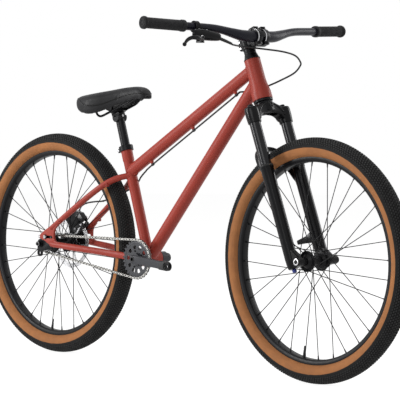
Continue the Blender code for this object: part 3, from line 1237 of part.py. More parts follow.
def make_hoses():
    """The loop from the bars to the first guide, then the run along the frame to the caliper."""
    seat_end = seat_point(0, 0, TOP_TUBE_SEAT_HEIGHT)
    head_end = steering_point(0, 0, HEAD_TOP - TOP_TUBE_HEAD_DROP)
    along = (head_end - seat_end).normalized()
    below = Vector((0, 1, 0)).cross(along)
    third, second, first = (seat_end.lerp(head_end, share) + below * HOSE_DROP for share in GUIDE_SHARES)
    boot_end = BAR_CENTRE + lever_pivot() + Vector(BOOT_PATH[-1])
    route = [*shifted(HOSE_FROM_LEVER, boot_end), *shifted(HOSE_LOOP, BAR_CENTRE),
             *shifted(HOSE_TO_GUIDE, first)]
    loop = smooth_path([*route, first + along * 0.0160], 2)
    add_wire("front_hose", [*loop, first + along * (0.0060 + GAP)], HOSE_RADIUS, BLACK_SATIN)
    rest = smooth_path([third, *shifted(HOSE_PAST_SEAT, third),
                        *shifted(HOSE_TO_CALIPER, CALIPER_CENTRE)], 2)
    add_wire("frame_hose", [first + along * 0.0060, second, *rest], HOSE_RADIUS, BLACK_SATIN)


# Seat

def make_seatpost(seat_axis):
    collar_low = SEAT_TUBE_LENGTH - 0.0140
    collar_high = SEAT_TUBE_LENGTH + 0.0015
    sleeve = SEAT_TUBE_RADIUS + 0.0012 + GAP
    collar = [(sleeve, collar_low), (0.0213, collar_low), (0.0213, collar_high),
              (SEATPOST_RADIUS + GAP, collar_high),
              (SEATPOST_RADIUS + GAP, collar_high - 0.0012), (sleeve, collar_high - 0.0012)]
    ring = add_mesh("seat_collar", lathe(collar, ROUND), BLACK_SATIN, seat_axis)
    middle = (collar_low + collar_high) / 2
    lug = block((-0.0300, -0.0085, collar_low + 0.0015), (-0.0195, 0.0085, collar_high - 0.0020))
    bolt = across(-0.0252, middle, -0.0125, 0.0125, 0.0042, 12)
    weld(ring, add_mesh("collar_lug", lug, parent=seat_axis),
         add_mesh("collar_bolt", bolt, parent=seat_axis))

    profile = [(0.0, SEATPOST_BOTTOM), (SEATPOST_RADIUS, SEATPOST_BOTTOM),
               (SEATPOST_RADIUS, SEATPOST_TOP - 0.010), (0.0120, SEATPOST_TOP), (0.0, SEATPOST_TOP)]
    post = add_mesh("seatpost", lathe(profile, ROUND), ANODISED, seat_axis)
    bore = rod((0, 0, SEATPOST_BOTTOM - 0.01), (0, 0, SEATPOST_TOP - 0.020),
               SEATPOST_RADIUS - 0.0022, 20)
    carve(post, add_mesh("seatpost_bore", bore, parent=seat_axis))
    head = across(0.0, SEAT_HEAD_HEIGHT - 0.0140, -0.0175, 0.0175, 0.0140, ROUND)
    weld(post, add_mesh("seatpost_head", head, parent=seat_axis))
    tilt = saddle_pivot()
    cradle = across(tilt.x, tilt.z, -0.03, 0.03, snug(KEEL_RADIUS, ROUND_LARGE), ROUND_LARGE)
    carve(post, add_mesh("seatpost_cradle", cradle))


SADDLE_HOLLOW = ((0.70, 0.42), (0.35, 0.52), (0.0, 0.55))
# Saddle sections, from the tilt axis: forward, half width, top, skirt
SADDLE_STATIONS = [
    (-0.1387, 0.0330, 0.0318, 0.0168), (-0.1317, 0.0520, 0.0398, 0.0088),
    (-0.1177, 0.0640, 0.0443, -0.0017), (-0.0957, 0.0700, 0.0478, -0.0102),
    (-0.0657, 0.0695, 0.0523, -0.0142), (-0.0357, 0.0610, 0.0563, -0.0097),
    (-0.0057, 0.0480, 0.0603, 0.0008), (0.0243, 0.0360, 0.0648, 0.0128),
    (0.0543, 0.0285, 0.0683, 0.0218), (0.0843, 0.0250, 0.0703, 0.0283),
    (0.1063, 0.0235, 0.0678, 0.0313), (0.1203, 0.0215, 0.0598, 0.0318),
    (0.1273, 0.0170, 0.0498, 0.0328)]


def between(pairs, x):
    """Value at x on the line through (x, value) pairs."""
    for (x0, v0), (x1, v1) in zip(pairs, pairs[1:]):
        if min(x0, x1) <= x <= max(x0, x1):
            return v0 + (v1 - v0) * (x - x0) / (x1 - x0)
    return pairs[-1][1]


def base_under(x, y):
    """Height of the underside of the saddle's base."""
    half_width, top, skirt = (between([(row[0], row[k]) for row in SADDLE_STATIONS], x)
                              for k in (1, 2, 3))
    lift = between(SADDLE_HOLLOW, y / half_width)
    return skirt + (top - skirt) * lift - GAP * 2 - BASE_THICKNESS


def rail_path():
    """Centre line of the rails, from the left tail socket round the nose to the right one."""
    tail_x, tail_y = -0.0660, 0.0330
    nose_x = 0.1045
    tail_z = base_under(tail_x, tail_y) + 0.0010
    nose_z = base_under(nose_x, 0.0) - RAIL_RADIUS + 0.0010
    slope = math.tan(math.radians(RAIL_SLOPE))
    y = RAIL_SPACING / 2
    side = [(tail_x, tail_y, tail_z), (tail_x + 0.0010, 0.0325, -0.0020),
            (tail_x + 0.0060, 0.0305, -0.0140),
            (-0.0500, 0.0265, -0.0180), (-0.0300, y, -0.0300 * slope), (0.0400, y, 0.0400 * slope),
            (0.0620, 0.0190, 0.0235), (0.0790, 0.0140, 0.0330), (0.0930, 0.0085, nose_z - 0.0035),
            (0.1015, 0.0040, nose_z - 0.0005), (nose_x, 0.0, nose_z)]
    left = smooth_path(side, 2)
    return left[:-1] + [Vector((p.x, -p.y, p.z)) for p in reversed(left)]


def add_rail_room(head):
    path = rail_path()
    radius = RAIL_RADIUS + GAP * 1.5
    return add_mesh("rail_room", sweep(path, [(radius, radius)] * len(path), 10), parent=head)


def make_saddle_clamp(head, rail_room):
    """Clamp that holds both rails, with a round keel that rocks in the cradle of the seatpost."""
    y = RAIL_SPACING / 2 + 0.0075
    bar = block((-0.0180, -y, -0.0075), (0.0180, y, 0.0075))
    bar.transform(Matrix.Rotation(math.radians(-RAIL_SLOPE), 4, "Y"))
    clamp = add_mesh("saddle_clamp", bar, BLACK_SATIN, head)
    outline = disc_outline(0.0, 0.0, KEEL_RADIUS, 205, 335, 8) + [(0.0150, -0.0020), (-0.0150, -0.0020)]
    weld(clamp, add_mesh("clamp_keel", plate(outline, -0.0165, 0.0165), parent=head))
    carve(clamp, rail_room)


def saddle_ring(x, half_width, top, skirt):
    """One cross-section: crowned top, sides drawn in, and a hollow underside."""
    depth = top - skirt
    shape = [(1.00, 0.42), (0.985, 0.62), (0.92, 0.80), (0.74, 0.93), (0.42, 0.985), (0.0, 1.0)]
    outer = [(share * half_width, skirt + depth * lift) for share, lift in shape]
    side = [(0.90 * half_width, skirt), (0.97 * half_width, skirt + 0.16 * depth)] + outer
    under = [(share * half_width, skirt + depth * lift) for share, lift in ((0.84, 0.02), *SADDLE_HOLLOW)]
    left = under[::-1] + side
    return [(x, y, z) for y, z in left + [(-y, z) for y, z in reversed(left[1:-1])]]


def make_saddle(head, rail_room):
    """Padded cover over a moulded base, on two rails."""
    cover = loft([saddle_ring(*station) for station in SADDLE_STATIONS])
    add_mesh("saddle_cover", cover, VINYL, head, 50.0)

    base_rings = []
    for x, half_width, top, skirt in SADDLE_STATIONS[1:-1]:
        shares = (0.66, 0.35, 0.0)
        upper = [(share * half_width, skirt + (top - skirt) * between(SADDLE_HOLLOW, share) - GAP * 2)
                 for share in shares]
        half = upper[::-1] + [(y, z - BASE_THICKNESS) for y, z in upper]
        ring = half + [(-y, z) for y, z in reversed(half[1:-1])]
        base_rings.append([(x, y, z) for y, z in ring])
    base = add_mesh("saddle_base", loft(base_rings), BLACK_SATIN, head)
    carve(base, rail_room)
    add_wire("saddle_rails", rail_path(), RAIL_RADIUS, BLACK_SATIN, head, 2)


def main():
    clear_scene()
    tilt = HEAD_ANGLE - 90
    steering = add_empty("steering_axis", CROWN_RACE, tilt)
    bar_frame = add_empty("handlebar_clamp", (STEM_LENGTH, 0, STEM_CENTRE), -tilt, parent=steering)
    seat_axis = add_empty("seat_axis", CRANK_CENTRE, SEAT_ANGLE - 90)
    saddle_head = add_empty("saddle_tilt_axis", saddle_pivot())
    front_axis = add_empty("front_wheel_axis", FRONT_HUB, turn_x=-90)
    rear_axis = add_empty("rear_wheel_axis", REAR_HUB, turn_x=-90)
    crank_axis = add_empty("crank_axis", CRANK_CENTRE, turn_x=-90)
    bpy.context.view_layer.update()

    make_head_tube(steering)
    tube_cutters = make_frame_tubes(steering)
    make_bottom_bracket(crank_axis)
    for side, sign in (("right", -1), ("left", 1)):
        plate_cutter = make_dropout(side, sign)
        make_stays(side, sign, tube_cutters, plate_cutter)
    make_sliders()
    make_caliper()
    make_rotor(rear_axis)
    make_wheel("front", front_axis)
    make_wheel("rear", rear_axis)
    make_spokes("front_spokes", front_axis, *FRONT_FLANGES, 3.0)
    make_spokes("rear_spokes", rear_axis, *REAR_FLANGES, 4.0)
    make_front_hub(front_axis)
    make_rear_hub(rear_axis)
    make_axles(front_axis, rear_axis)
    make_chainring(crank_axis)
    make_sprocket(rear_axis)
    make_crank("right", -1, crank_axis)
    make_crank("left", 1, crank_axis)
    make_chain()
    make_crown(steering)
    make_stanchions(steering)
    make_lowers(steering)
    make_rebound_knob(steering)
    make_stem(steering)
    make_handlebar(bar_frame)
    make_grip("right", -1, bar_frame)
    make_grip("left", 1, bar_frame)
    make_brake_controls(bar_frame)
    make_hoses()
    make_seatpost(seat_axis)
    rail_room = add_rail_room(saddle_head)
    make_saddle_clamp(saddle_head, rail_room)
    make_saddle(saddle_head, rail_room)


main()
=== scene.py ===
import json
import math

import bmesh
import bpy
from mathutils import Matrix, Vector

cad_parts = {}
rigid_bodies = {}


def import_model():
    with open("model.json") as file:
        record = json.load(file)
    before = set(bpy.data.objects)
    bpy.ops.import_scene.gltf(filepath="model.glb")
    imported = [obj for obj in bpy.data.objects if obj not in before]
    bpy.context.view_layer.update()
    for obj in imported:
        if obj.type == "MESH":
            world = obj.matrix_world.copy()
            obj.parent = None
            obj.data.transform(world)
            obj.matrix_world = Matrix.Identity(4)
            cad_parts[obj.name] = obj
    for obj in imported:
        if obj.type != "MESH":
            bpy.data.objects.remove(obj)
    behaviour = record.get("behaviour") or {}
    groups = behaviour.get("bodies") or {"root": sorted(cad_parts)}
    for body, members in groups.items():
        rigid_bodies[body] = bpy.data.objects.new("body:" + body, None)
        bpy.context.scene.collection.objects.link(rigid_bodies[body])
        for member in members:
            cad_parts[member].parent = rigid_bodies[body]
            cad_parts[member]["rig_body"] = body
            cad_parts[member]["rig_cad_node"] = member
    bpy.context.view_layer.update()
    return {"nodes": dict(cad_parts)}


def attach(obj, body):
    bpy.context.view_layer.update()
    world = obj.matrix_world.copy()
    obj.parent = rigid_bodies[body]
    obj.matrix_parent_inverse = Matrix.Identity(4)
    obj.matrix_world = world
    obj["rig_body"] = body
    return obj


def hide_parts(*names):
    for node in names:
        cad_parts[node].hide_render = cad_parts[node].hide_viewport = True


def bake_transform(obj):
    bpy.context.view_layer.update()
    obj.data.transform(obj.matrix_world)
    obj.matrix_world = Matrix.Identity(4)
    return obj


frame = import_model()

bl_info = {
    "name": "Hardtail bike",
    "version": (1, 0, 0),
    "blender": (4, 5, 0),
    "location": "View3D > Sidebar > Hardtail bike",
    "description": "Detailed pieces of a hardtail mountain bike, made on its fixed frame",
    "category": "Object",
}

WORLD = Matrix.Identity(4)
STEERING = Matrix.Translation((0.337533, 0.0, 0.769266)) @ Matrix.Rotation(math.radians(-21.0), 4, "Y")
SEAT = Matrix.Translation((-0.1285, 0.0, 0.3105)) @ Matrix.Rotation(math.radians(-17.7), 4, "Y")
ALONG_AXLE = Matrix.Rotation(math.radians(-90.0), 4, "X")
FRONT_HUB = Vector((0.5395, 0.0, 0.338))
REAR_HUB = Vector((-0.5395, 0.0, 0.338))
CRANK = Vector((-0.1285, 0.0, 0.3105))
BAR_CENTRE = Vector((0.318018, 0.0, 0.954046))
SADDLE = Vector((-0.265315, 0.0, 0.747198))
SIDES = (("right", -1.0), ("left", 1.0))
ORIGIN = (0.0, 0.0, 0.0)
AHEAD = (1.0, 0.0, 0.0)
ACROSS = (0.0, 1.0, 0.0)
UP = (0.0, 0.0, 1.0)
LEG_X = 0.006
LEG_Y = 0.063


def mm(*points):
    """Points whose coordinates are given in millimetres."""
    return [tuple(round(value / 1000.0, 7) for value in point) for point in points]


def polar(radius, turn):
    return radius * math.cos(turn), radius * math.sin(turn)


def round_axle(radius, turn, y):
    """A point at a turn round an axle that runs along Y."""
    return radius * math.cos(turn), y, radius * math.sin(turn)


# Sizes and colours that a user would change

def colour_choice(name, description, default):
    return bpy.props.FloatVectorProperty(name=name, description=description, subtype="COLOR", size=3, min=0.0,
        max=1.0, default=default)


def size_choice(name, description, low, high, default):
    return bpy.props.FloatProperty(name=name, description=description, subtype="DISTANCE", unit="LENGTH", min=low,
        max=high, default=default)


def count_choice(name, description, low, high, default):
    return bpy.props.IntProperty(name=name, description=description, min=low, max=high, default=default)


class BikeColours(bpy.types.PropertyGroup):
    frame_paint: colour_choice("Frame paint", "Satin paint of the frame tubes", (0.315, 0.04, 0.026))
    fork_paint: colour_choice("Fork paint", "Gloss paint of the crown and the lowers", (0.004, 0.004, 0.0048))
    sidewall: colour_choice("Tyre sidewall", "Tan casing that shows beside the tread", (0.352, 0.146, 0.055))
    tread: colour_choice("Tyre tread", "Rubber of the tread", (0.011, 0.011, 0.011))
    bar: colour_choice("Handlebar", "Satin finish of the handlebar", (0.008, 0.008, 0.014))
    crank: colour_choice("Cranks", "Anodised finish of the cranks and the chainring", (0.022, 0.023, 0.028))
    knob: colour_choice("Rebound knob", "Anodised finish of the knob under the right leg", (0.02, 0.03, 0.16))
    vinyl: colour_choice("Saddle cover", "Grained vinyl of the saddle", (0.0085, 0.0085, 0.0095))


class BikeSizes(bpy.types.PropertyGroup):
    lug_height: size_choice("Lug height", "How far the tread lugs stand above the casing", 0.0005, 0.003, 0.0022)
    lug_rows: count_choice("Lug rows", "Number of rows of lugs round a tyre", 60, 300, 236)
    spoke_radius: size_choice("Spoke radius", "Radius of a spoke's round wire", 0.0007, 0.0012, 0.0012)
    hose_radius: size_choice("Hose radius", "Radius of the brake hose", 0.002, 0.0025, 0.0025)
    weld_radius: size_choice("Weld bead", "Radius of a weld bead's ripples", 0.001, 0.003, 0.0021)
    grip_ribs: count_choice("Grip ribs", "Number of ribs along a grip", 8, 40, 26)
    seam_radius: size_choice("Saddle piping", "Radius of the piping along the saddle's seams", 0.0004, 0.0018, 0.0015)


# Selecting and placing

def edit_all():
    bpy.ops.object.mode_set(mode="EDIT")
    bpy.ops.mesh.select_all(action="SELECT")


def made():
    """The object that the last operator made."""
    return bpy.context.active_object


def take(obj):
    """Make one object the only one that is selected, and active."""
    if bpy.context.mode != "OBJECT":
        bpy.ops.object.mode_set(mode="OBJECT")
    for other in bpy.context.view_layer.objects:
        other.select_set(False)
    obj.select_set(True)
    bpy.context.view_layer.objects.active = obj
    return obj


def settle(obj, name, place=WORLD):
    """Name a new piece and put its place in its mesh."""
    obj.name = name
    obj.data.name = name
    obj.matrix_basis = place @ obj.matrix_basis
    take(obj)
    bpy.ops.object.transform_apply(location=True, rotation=True, scale=True)
    return obj


def smooth(obj, angle=35.0):
    take(obj)
    bpy.ops.object.shade_smooth_by_angle(angle=math.radians(angle))
    return obj


def apply_modifiers(obj):
    take(obj)
    for modifier in list(obj.modifiers):
        bpy.ops.object.modifier_apply(modifier=modifier.name)
    return obj


def bevelled(obj, width=0.0006, segments=2, angle=35.0):
    """Round the sharp edges."""
    modifier = obj.modifiers.new("Edges", "BEVEL")
    modifier.width = width
    modifier.segments = segments
    modifier.limit_method = "ANGLE"
    modifier.angle_limit = math.radians(angle)
    modifier.harden_normals = False
    return apply_modifiers(obj)


def subdivided(obj, levels=1):
    modifier = obj.modifiers.new("Rounding", "SUBSURF")
    modifier.levels = levels
    modifier.render_levels = levels
    return apply_modifiers(obj)


def merge(obj, distance=0.000002):
    """Merge doubles and turn every face outward."""
    take(obj)
    edit_all()
    bpy.ops.mesh.remove_doubles(threshold=distance)
    bpy.ops.mesh.normals_make_consistent(inside=False)
    bpy.ops.object.mode_set(mode="OBJECT")
    return obj


def cut(obj, *tools):
    """Take each tool's volume away, and remove the tool."""
    for tool in tools:
        modifier = obj.modifiers.new("Cut", "BOOLEAN")
        modifier.operation = "DIFFERENCE"
        modifier.solver = "EXACT"
        modifier.object = tool
        apply_modifiers(obj)
        bpy.data.objects.remove(tool)
    return obj


def joined(name, pieces):
    """One piece out of several that are fixed together or alike."""
    take(pieces[0])
    for piece in pieces[1:]:
        piece.select_set(True)
    if len(pieces) > 1:
        bpy.ops.object.join()
    obj = bpy.context.view_layer.objects.active
    obj.name = name
    obj.data.name = name
    return obj


def copied(obj, name, place=WORLD):
    """A copy with a mesh of its own, at another place."""
    twin = obj.copy()
    twin.data = obj.data.copy()
    bpy.context.scene.collection.objects.link(twin)
    return settle(twin, name, place)


def mirrored(obj, name):
    """A copy on the other side of the middle plane."""
    twin = copied(obj, name, Matrix.Scale(-1.0, 4, ACROSS))
    return merge(twin)


def repeated(obj, steps, centre=ORIGIN, axis=ACROSS):
    """Copy the whole mesh round an axis."""
    take(obj)
    edit_all()
    bpy.ops.mesh.spin(steps=steps, dupli=True, angle=math.tau, use_auto_merge=False, center=centre, axis=axis)
    bpy.ops.mesh.select_all(action="SELECT")
    bpy.ops.mesh.remove_doubles(threshold=0.000002)
    bpy.ops.object.mode_set(mode="OBJECT")
    return obj


def facing(start, end):
    """The place whose Z runs from start to end."""
    line = Vector(end) - Vector(start)
    return Matrix.Translation(start) @ line.to_track_quat("Z", "Y").to_matrix().to_4x4()


# Shapes

def turned(name, profile, place=WORLD, steps=48):
    """Spin a profile of (radius, height) about Z. It is closed, or else starts and ends on the axis."""
    bpy.ops.mesh.primitive_circle_add(vertices=len(profile), radius=0.01)
    obj = made()
    for vertex, (radius, height) in zip(obj.data.vertices, profile):
        vertex.co = (radius, 0.0, height)
    take(obj)
    bpy.ops.object.mode_set(mode="EDIT")
    if profile[0][0] == 0.0:
        bm = bmesh.from_edit_mesh(obj.data)
        bm.verts.ensure_lookup_table()
        last = bm.edges.get((bm.verts[0], bm.verts[len(profile) - 1]))
        bm.edges.remove(last)
        bmesh.update_edit_mesh(obj.data)
    bpy.ops.mesh.select_all(action="SELECT")
    bpy.ops.mesh.spin(steps=steps, angle=math.tau, center=ORIGIN, axis=UP)
    bpy.ops.object.mode_set(mode="OBJECT")
    settle(obj, name, place)
    return merge(obj)


def loft(name, rings, loop=False):
    """A skin over closed rings of points, made from a grid."""
    rings = [[Vector(point) for point in ring] for ring in rings]
    if loop:
        rings.append(rings[0])
    sides = len(rings[0])
    bpy.ops.mesh.primitive_grid_add(x_subdivisions=sides, y_subdivisions=len(rings) - 1, size=1.0)
    obj = made()
    for row, ring in enumerate(rings):
        for column in range(sides + 1):
            obj.data.vertices[row * (sides + 1) + column].co = ring[column % sides]
    merge(obj)
    if not loop:
        bpy.ops.object.mode_set(mode="EDIT")
        bpy.ops.mesh.select_all(action="DESELECT")
        bpy.ops.mesh.select_mode(type="EDGE")
        bpy.ops.mesh.select_non_manifold(extend=False)
        bpy.ops.mesh.fill_holes(sides=0)
        bpy.ops.mesh.select_mode(type="VERT")
        bpy.ops.mesh.select_all(action="SELECT")
        bpy.ops.mesh.normals_make_consistent(inside=False)
        bpy.ops.object.mode_set(mode="OBJECT")
    return settle(obj, name)


def smooth_path(points, steps=6):
    """A smooth curve through the points."""
    points = [Vector(point) for point in points]
    fine = []
    for i in range(len(points) - 1):
        before = points[max(i - 1, 0)]
        after = points[min(i + 2, len(points) - 1)]
        a, b = points[i], points[i + 1]
        for k in range(steps):
            t = k / steps
            fine.append(0.5 * (2 * a + (b - before) * t + (2 * before - 5 * a + 4 * b - after) * t * t
                + (3 * a - before - 3 * b + after) * t * t * t))
    fine.append(points[-1])
    return fine


def oval(point, across, up, wide, high, sides):
    """One ring of points about a point."""
    return [point + across * (wide * math.cos(math.tau * k / sides)) + up * (high * math.sin(math.tau * k / sides))
        for k in range(sides)]


def direction_at(path, i):
    """The direction of a path at one of its points."""
    return (path[min(i + 1, len(path) - 1)] - path[max(i - 1, 0)]).normalized()


def section_rings(path, sizes, sides=24):
    """Oval rings square to the path. Each size is (half width across, half height)."""
    rings = []
    for i, point in enumerate(path):
        along = direction_at(path, i)
        up = along.cross(Vector(ACROSS)).normalized()
        across = up.cross(along).normalized()
        wide, high = sizes[i]
        rings.append(oval(point, across, up, wide, high, sides))
    return rings


def at_shares(values, count):
    """Spread a short list of sizes evenly over a longer list."""
    spread = []
    for i in range(count):
        place = i / (count - 1) * (len(values) - 1)
        low = min(int(place), len(values) - 2)
        spread.append(values[low] + (values[low + 1] - values[low]) * (place - low))
    return spread


def pipe(name, path, radii, sides=24):
    """A round piece along a path, with one radius or a radius for each point."""
    path = [Vector(point) for point in path]
    if not isinstance(radii, (list, tuple)):
        radii = [radii] * len(path)
    normal = None
    rings = []
    for i, point in enumerate(path):
        along = direction_at(path, i)
        normal = along.orthogonal() if normal is None else normal - along * normal.dot(along)
        normal.normalize()
        other = along.cross(normal)
        rings.append(oval(point, normal, other, radii[i], radii[i], sides))
    return loft(name, rings)


def swept(name, path, sizes, sides=24):
    """An oval piece along a path that stays level. Each size is (half width, half height)."""
    path = [Vector(point) for point in path]
    rings = []
    for i, point in enumerate(path):
        along = direction_at(path, i)
        side = along.cross(Vector(UP)).normalized()
        rise = side.cross(along)
        wide, high = sizes[i]
        rings.append(oval(point, side, rise, wide, high, sides))
    return loft(name, rings)


def rod(name, start, end, radius, sides=32):
    """A round bar between two points."""
    start = Vector(start)
    end = Vector(end)
    bpy.ops.mesh.primitive_cylinder_add(vertices=sides, radius=radius, depth=(end - start).length)
    return settle(made(), name, facing(start, end) @ Matrix.Translation((0.0, 0.0, (end - start).length / 2)))


def plate(name, outline, low, high):
    """An (x, z) outline extruded along Y."""
    bpy.ops.mesh.primitive_circle_add(vertices=len(outline), radius=0.01, fill_type="NGON")
    obj = made()
    for vertex, (x, z) in zip(obj.data.vertices, outline):
        vertex.co = (x, low, z)
    take(obj)
    edit_all()
    bpy.ops.mesh.extrude_region_move(TRANSFORM_OT_translate={"value": (0.0, high - low, 0.0)})
    bpy.ops.mesh.select_all(action="SELECT")
    bpy.ops.mesh.normals_make_consistent(inside=False)
    bpy.ops.object.mode_set(mode="OBJECT")
    return settle(obj, name)


def ring_outline(radius, sides):
    return [polar(radius, math.tau * k / sides) for k in range(sides)]


def along(x, z, low, high, radius, name="Bar", sides=32):
    """A round bar along Y."""
    return rod(name, (x, low, z), (x, high, z), radius, sides)


def cad_copy(node, name, width, segments=2):
    """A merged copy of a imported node, with its flat faces made whole and its edges rounded."""
    source = frame["nodes"][node]
    obj = source.copy()
    obj.data = source.data.copy()
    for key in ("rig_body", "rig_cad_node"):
        if key in obj:
            del obj[key]
    obj.parent = None
    bpy.context.scene.collection.objects.link(obj)
    obj.hide_render = False
    obj.name = name
    obj.data.name = name
    merge(obj, 0.000005)
    edit_all()
    bpy.ops.mesh.dissolve_limited(angle_limit=math.radians(1.0))
    bpy.ops.object.mode_set(mode="OBJECT")
    return bevelled(obj, width, segments, 30.0)


# Finishes

MADE = {}


def chosen(name):
    return tuple(getattr(bpy.context.scene.bike_colours, name))


def size_of(name):
    return getattr(bpy.context.scene.bike_sizes, name)


def new_node(tree, kind, **values):
    node = tree.nodes.new(kind)
    for key, value in values.items():
        setattr(node, key, value)
    return node


def feed(node, **values):
    """Set the values of a node's inputs, by their names with _ for a space."""
    for key, value in values.items():
        node.inputs[key.replace("_", " ")].default_value = value
    return node


def placed_coordinates(tree, centre=ORIGIN, stretch=(1.0, 1.0, 1.0)):
    """Object coordinates, moved so that centre is their origin."""
    coordinates = new_node(tree, "ShaderNodeTexCoord")
    mapping = feed(new_node(tree, "ShaderNodeMapping"), Location=[-c * s for c, s in zip(centre, stretch)],
        Scale=stretch)
    tree.links.new(coordinates.outputs["Object"], mapping.inputs["Vector"])
    return mapping.outputs["Vector"]


def noise(tree, vector, scale, detail=3.0):
    node = feed(new_node(tree, "ShaderNodeTexNoise"), Scale=scale, Detail=detail)
    tree.links.new(vector, node.inputs["Vector"])
    return node.outputs["Fac"]


def spread(tree, value, low, high, from_low=0.3, from_high=0.7):
    node = feed(new_node(tree, "ShaderNodeMapRange"), From_Min=from_low, From_Max=from_high, To_Min=low, To_Max=high)
    tree.links.new(value, node.inputs["Value"])
    return node.outputs["Result"]


def maths(tree, operation, first, second=None):
    node = new_node(tree, "ShaderNodeMath", operation=operation)
    for socket, value in zip(node.inputs, (first, second)):
        if isinstance(value, (int, float)):
            socket.default_value = value
        elif value is not None:
            tree.links.new(value, socket)
    return node.outputs["Value"]


def two_tone(tree, value, first, second):
    node = new_node(tree, "ShaderNodeMix", data_type="RGBA")
    tree.links.new(value, node.inputs[0])
    for index, colour in ((6, first), (7, second)):
        if isinstance(colour, tuple):
            node.inputs[index].default_value = (*colour[:3], 1.0)
        else:
            tree.links.new(colour, node.inputs[index])
    return node.outputs[2]


def raised(tree, shader, height, depth, strength=1.0):
    bump = feed(new_node(tree, "ShaderNodeBump"), Strength=strength, Distance=depth)
    tree.links.new(height, bump.inputs["Height"])
    tree.links.new(bump.outputs["Normal"], shader.inputs["Normal"])


def shaded(colour, share):
    return tuple(max(0.0, min(1.0, c * share)) for c in colour[:3])


def start_finish(name, roughness, metallic, specular=0.5):
    material = bpy.data.materials.new(name)
    material.use_nodes = True
    shader = material.node_tree.nodes["Principled BSDF"]
    feed(shader, Roughness=roughness, Metallic=metallic, Specular_IOR_Level=specular)
    MADE[name] = material
    return material.node_tree, shader


def plain_finish(name, colour, roughness, metallic, tone=0.07, patch=11.0, grain=2600.0, depth=0.000001,
        specular=0.5):
    """A paint, metal or moulded finish: slow changes of tone, uneven gloss and a fine grain."""
    tree, shader = start_finish(name, roughness, metallic, specular)
    vector = placed_coordinates(tree)
    tones = spread(tree, noise(tree, vector, patch, 5.0), 0.0, 1.0)
    mixed = two_tone(tree, tones, shaded(colour, 1.0 - tone), shaded(colour, 1.0 + tone))
    tree.links.new(mixed, shader.inputs["Base Color"])
    gloss = spread(tree, noise(tree, vector, patch * 6.0, 4.0), roughness * 0.88, roughness * 1.12)
    tree.links.new(gloss, shader.inputs["Roughness"])
    raised(tree, shader, noise(tree, vector, grain, 2.0), depth)


def ringed_finish(name, centre, colour, roughness, metallic, spacing, depth):
    """A turned or brushed disc: fine rings about an axle along Y."""
    tree, shader = start_finish(name, roughness, metallic)
    vector = placed_coordinates(tree, centre)
    flat = placed_coordinates(tree, centre, (1.0, 0.0, 1.0))
    length = new_node(tree, "ShaderNodeVectorMath", operation="LENGTH")
    tree.links.new(flat, length.inputs[0])
    rings = maths(tree, "SINE", maths(tree, "MULTIPLY", length.outputs["Value"], math.tau / spacing))
    tones = spread(tree, noise(tree, vector, 60.0, 4.0), 0.0, 1.0)
    mixed = two_tone(tree, tones, shaded(colour, 0.9), shaded(colour, 1.1))
    tree.links.new(mixed, shader.inputs["Base Color"])
    tree.links.new(spread(tree, rings, roughness * 0.8, roughness * 1.2, -1.0, 1.0), shader.inputs["Roughness"])
    raised(tree, shader, rings, depth)


def tyre_finish(name, hub):
    """Tan casing with fine cords and painted shade next to the rim, and black rubber from the tread's edge outward.
    """
    tree, shader = start_finish(name, 0.8, 0.0, specular=0.2)
    vector = placed_coordinates(tree, hub)
    flat = placed_coordinates(tree, hub, (1.0, 0.0, 1.0))
    length = new_node(tree, "ShaderNodeVectorMath", operation="LENGTH")
    tree.links.new(flat, length.inputs[0])
    radius = length.outputs["Value"]
    tan = chosen("sidewall")
    black = chosen("tread")
    tones = spread(tree, noise(tree, vector, 45.0, 5.0), 0.0, 1.0)
    casing = two_tone(tree, tones, shaded(tan, 0.86), shaded(tan, 1.1))
    # Painted shade: the tan is darkened to 0.45 of itself inside the radii where the casing meets the rim.
    bead = spread(tree, radius, 1.0, 0.0, *BEAD_SHADE_EDGE)
    casing = two_tone(tree, bead, casing, shaded(tan, 0.45))
    rubber = two_tone(tree, tones, shaded(black, 0.5), shaded(black, 0.9))
    edge = spread(tree, maths(tree, "ADD", radius, spread(tree, noise(tree, vector, 90.0, 2.0), -0.0004, 0.0004)),
        0.0, 1.0, *TREAD_EDGE)
    tree.links.new(two_tone(tree, edge, casing, rubber), shader.inputs["Base Color"])
    tree.links.new(spread(tree, tones, 0.68, 0.86, 0.0, 1.0), shader.inputs["Roughness"])
    cords = maths(tree, "SINE", maths(tree, "MULTIPLY", radius, math.tau / 0.0011))
    weave = maths(tree, "ADD", cords, noise(tree, vector, 1500.0, 2.0))
    raised(tree, shader, weave, 0.00003)


def vinyl_finish(name):
    """Grained vinyl: small rounded cells in its bump, and gloss that changes a little from place to place."""
    colour = chosen("vinyl")
    tree, shader = start_finish(name, 0.5, 0.0, specular=0.2)
    vector = placed_coordinates(tree)
    cells = feed(new_node(tree, "ShaderNodeTexVoronoi", feature="SMOOTH_F1"), Scale=900.0)
    tree.links.new(vector, cells.inputs["Vector"])
    tones = spread(tree, noise(tree, vector, 22.0, 4.0), 0.0, 1.0)
    tree.links.new(two_tone(tree, tones, shaded(colour, 0.8), shaded(colour, 1.4)), shader.inputs["Base Color"])
    tree.links.new(spread(tree, noise(tree, vector, 120.0, 3.0), 0.42, 0.58), shader.inputs["Roughness"])
    raised(tree, shader, cells.outputs["Distance"], 0.00003, 0.5)


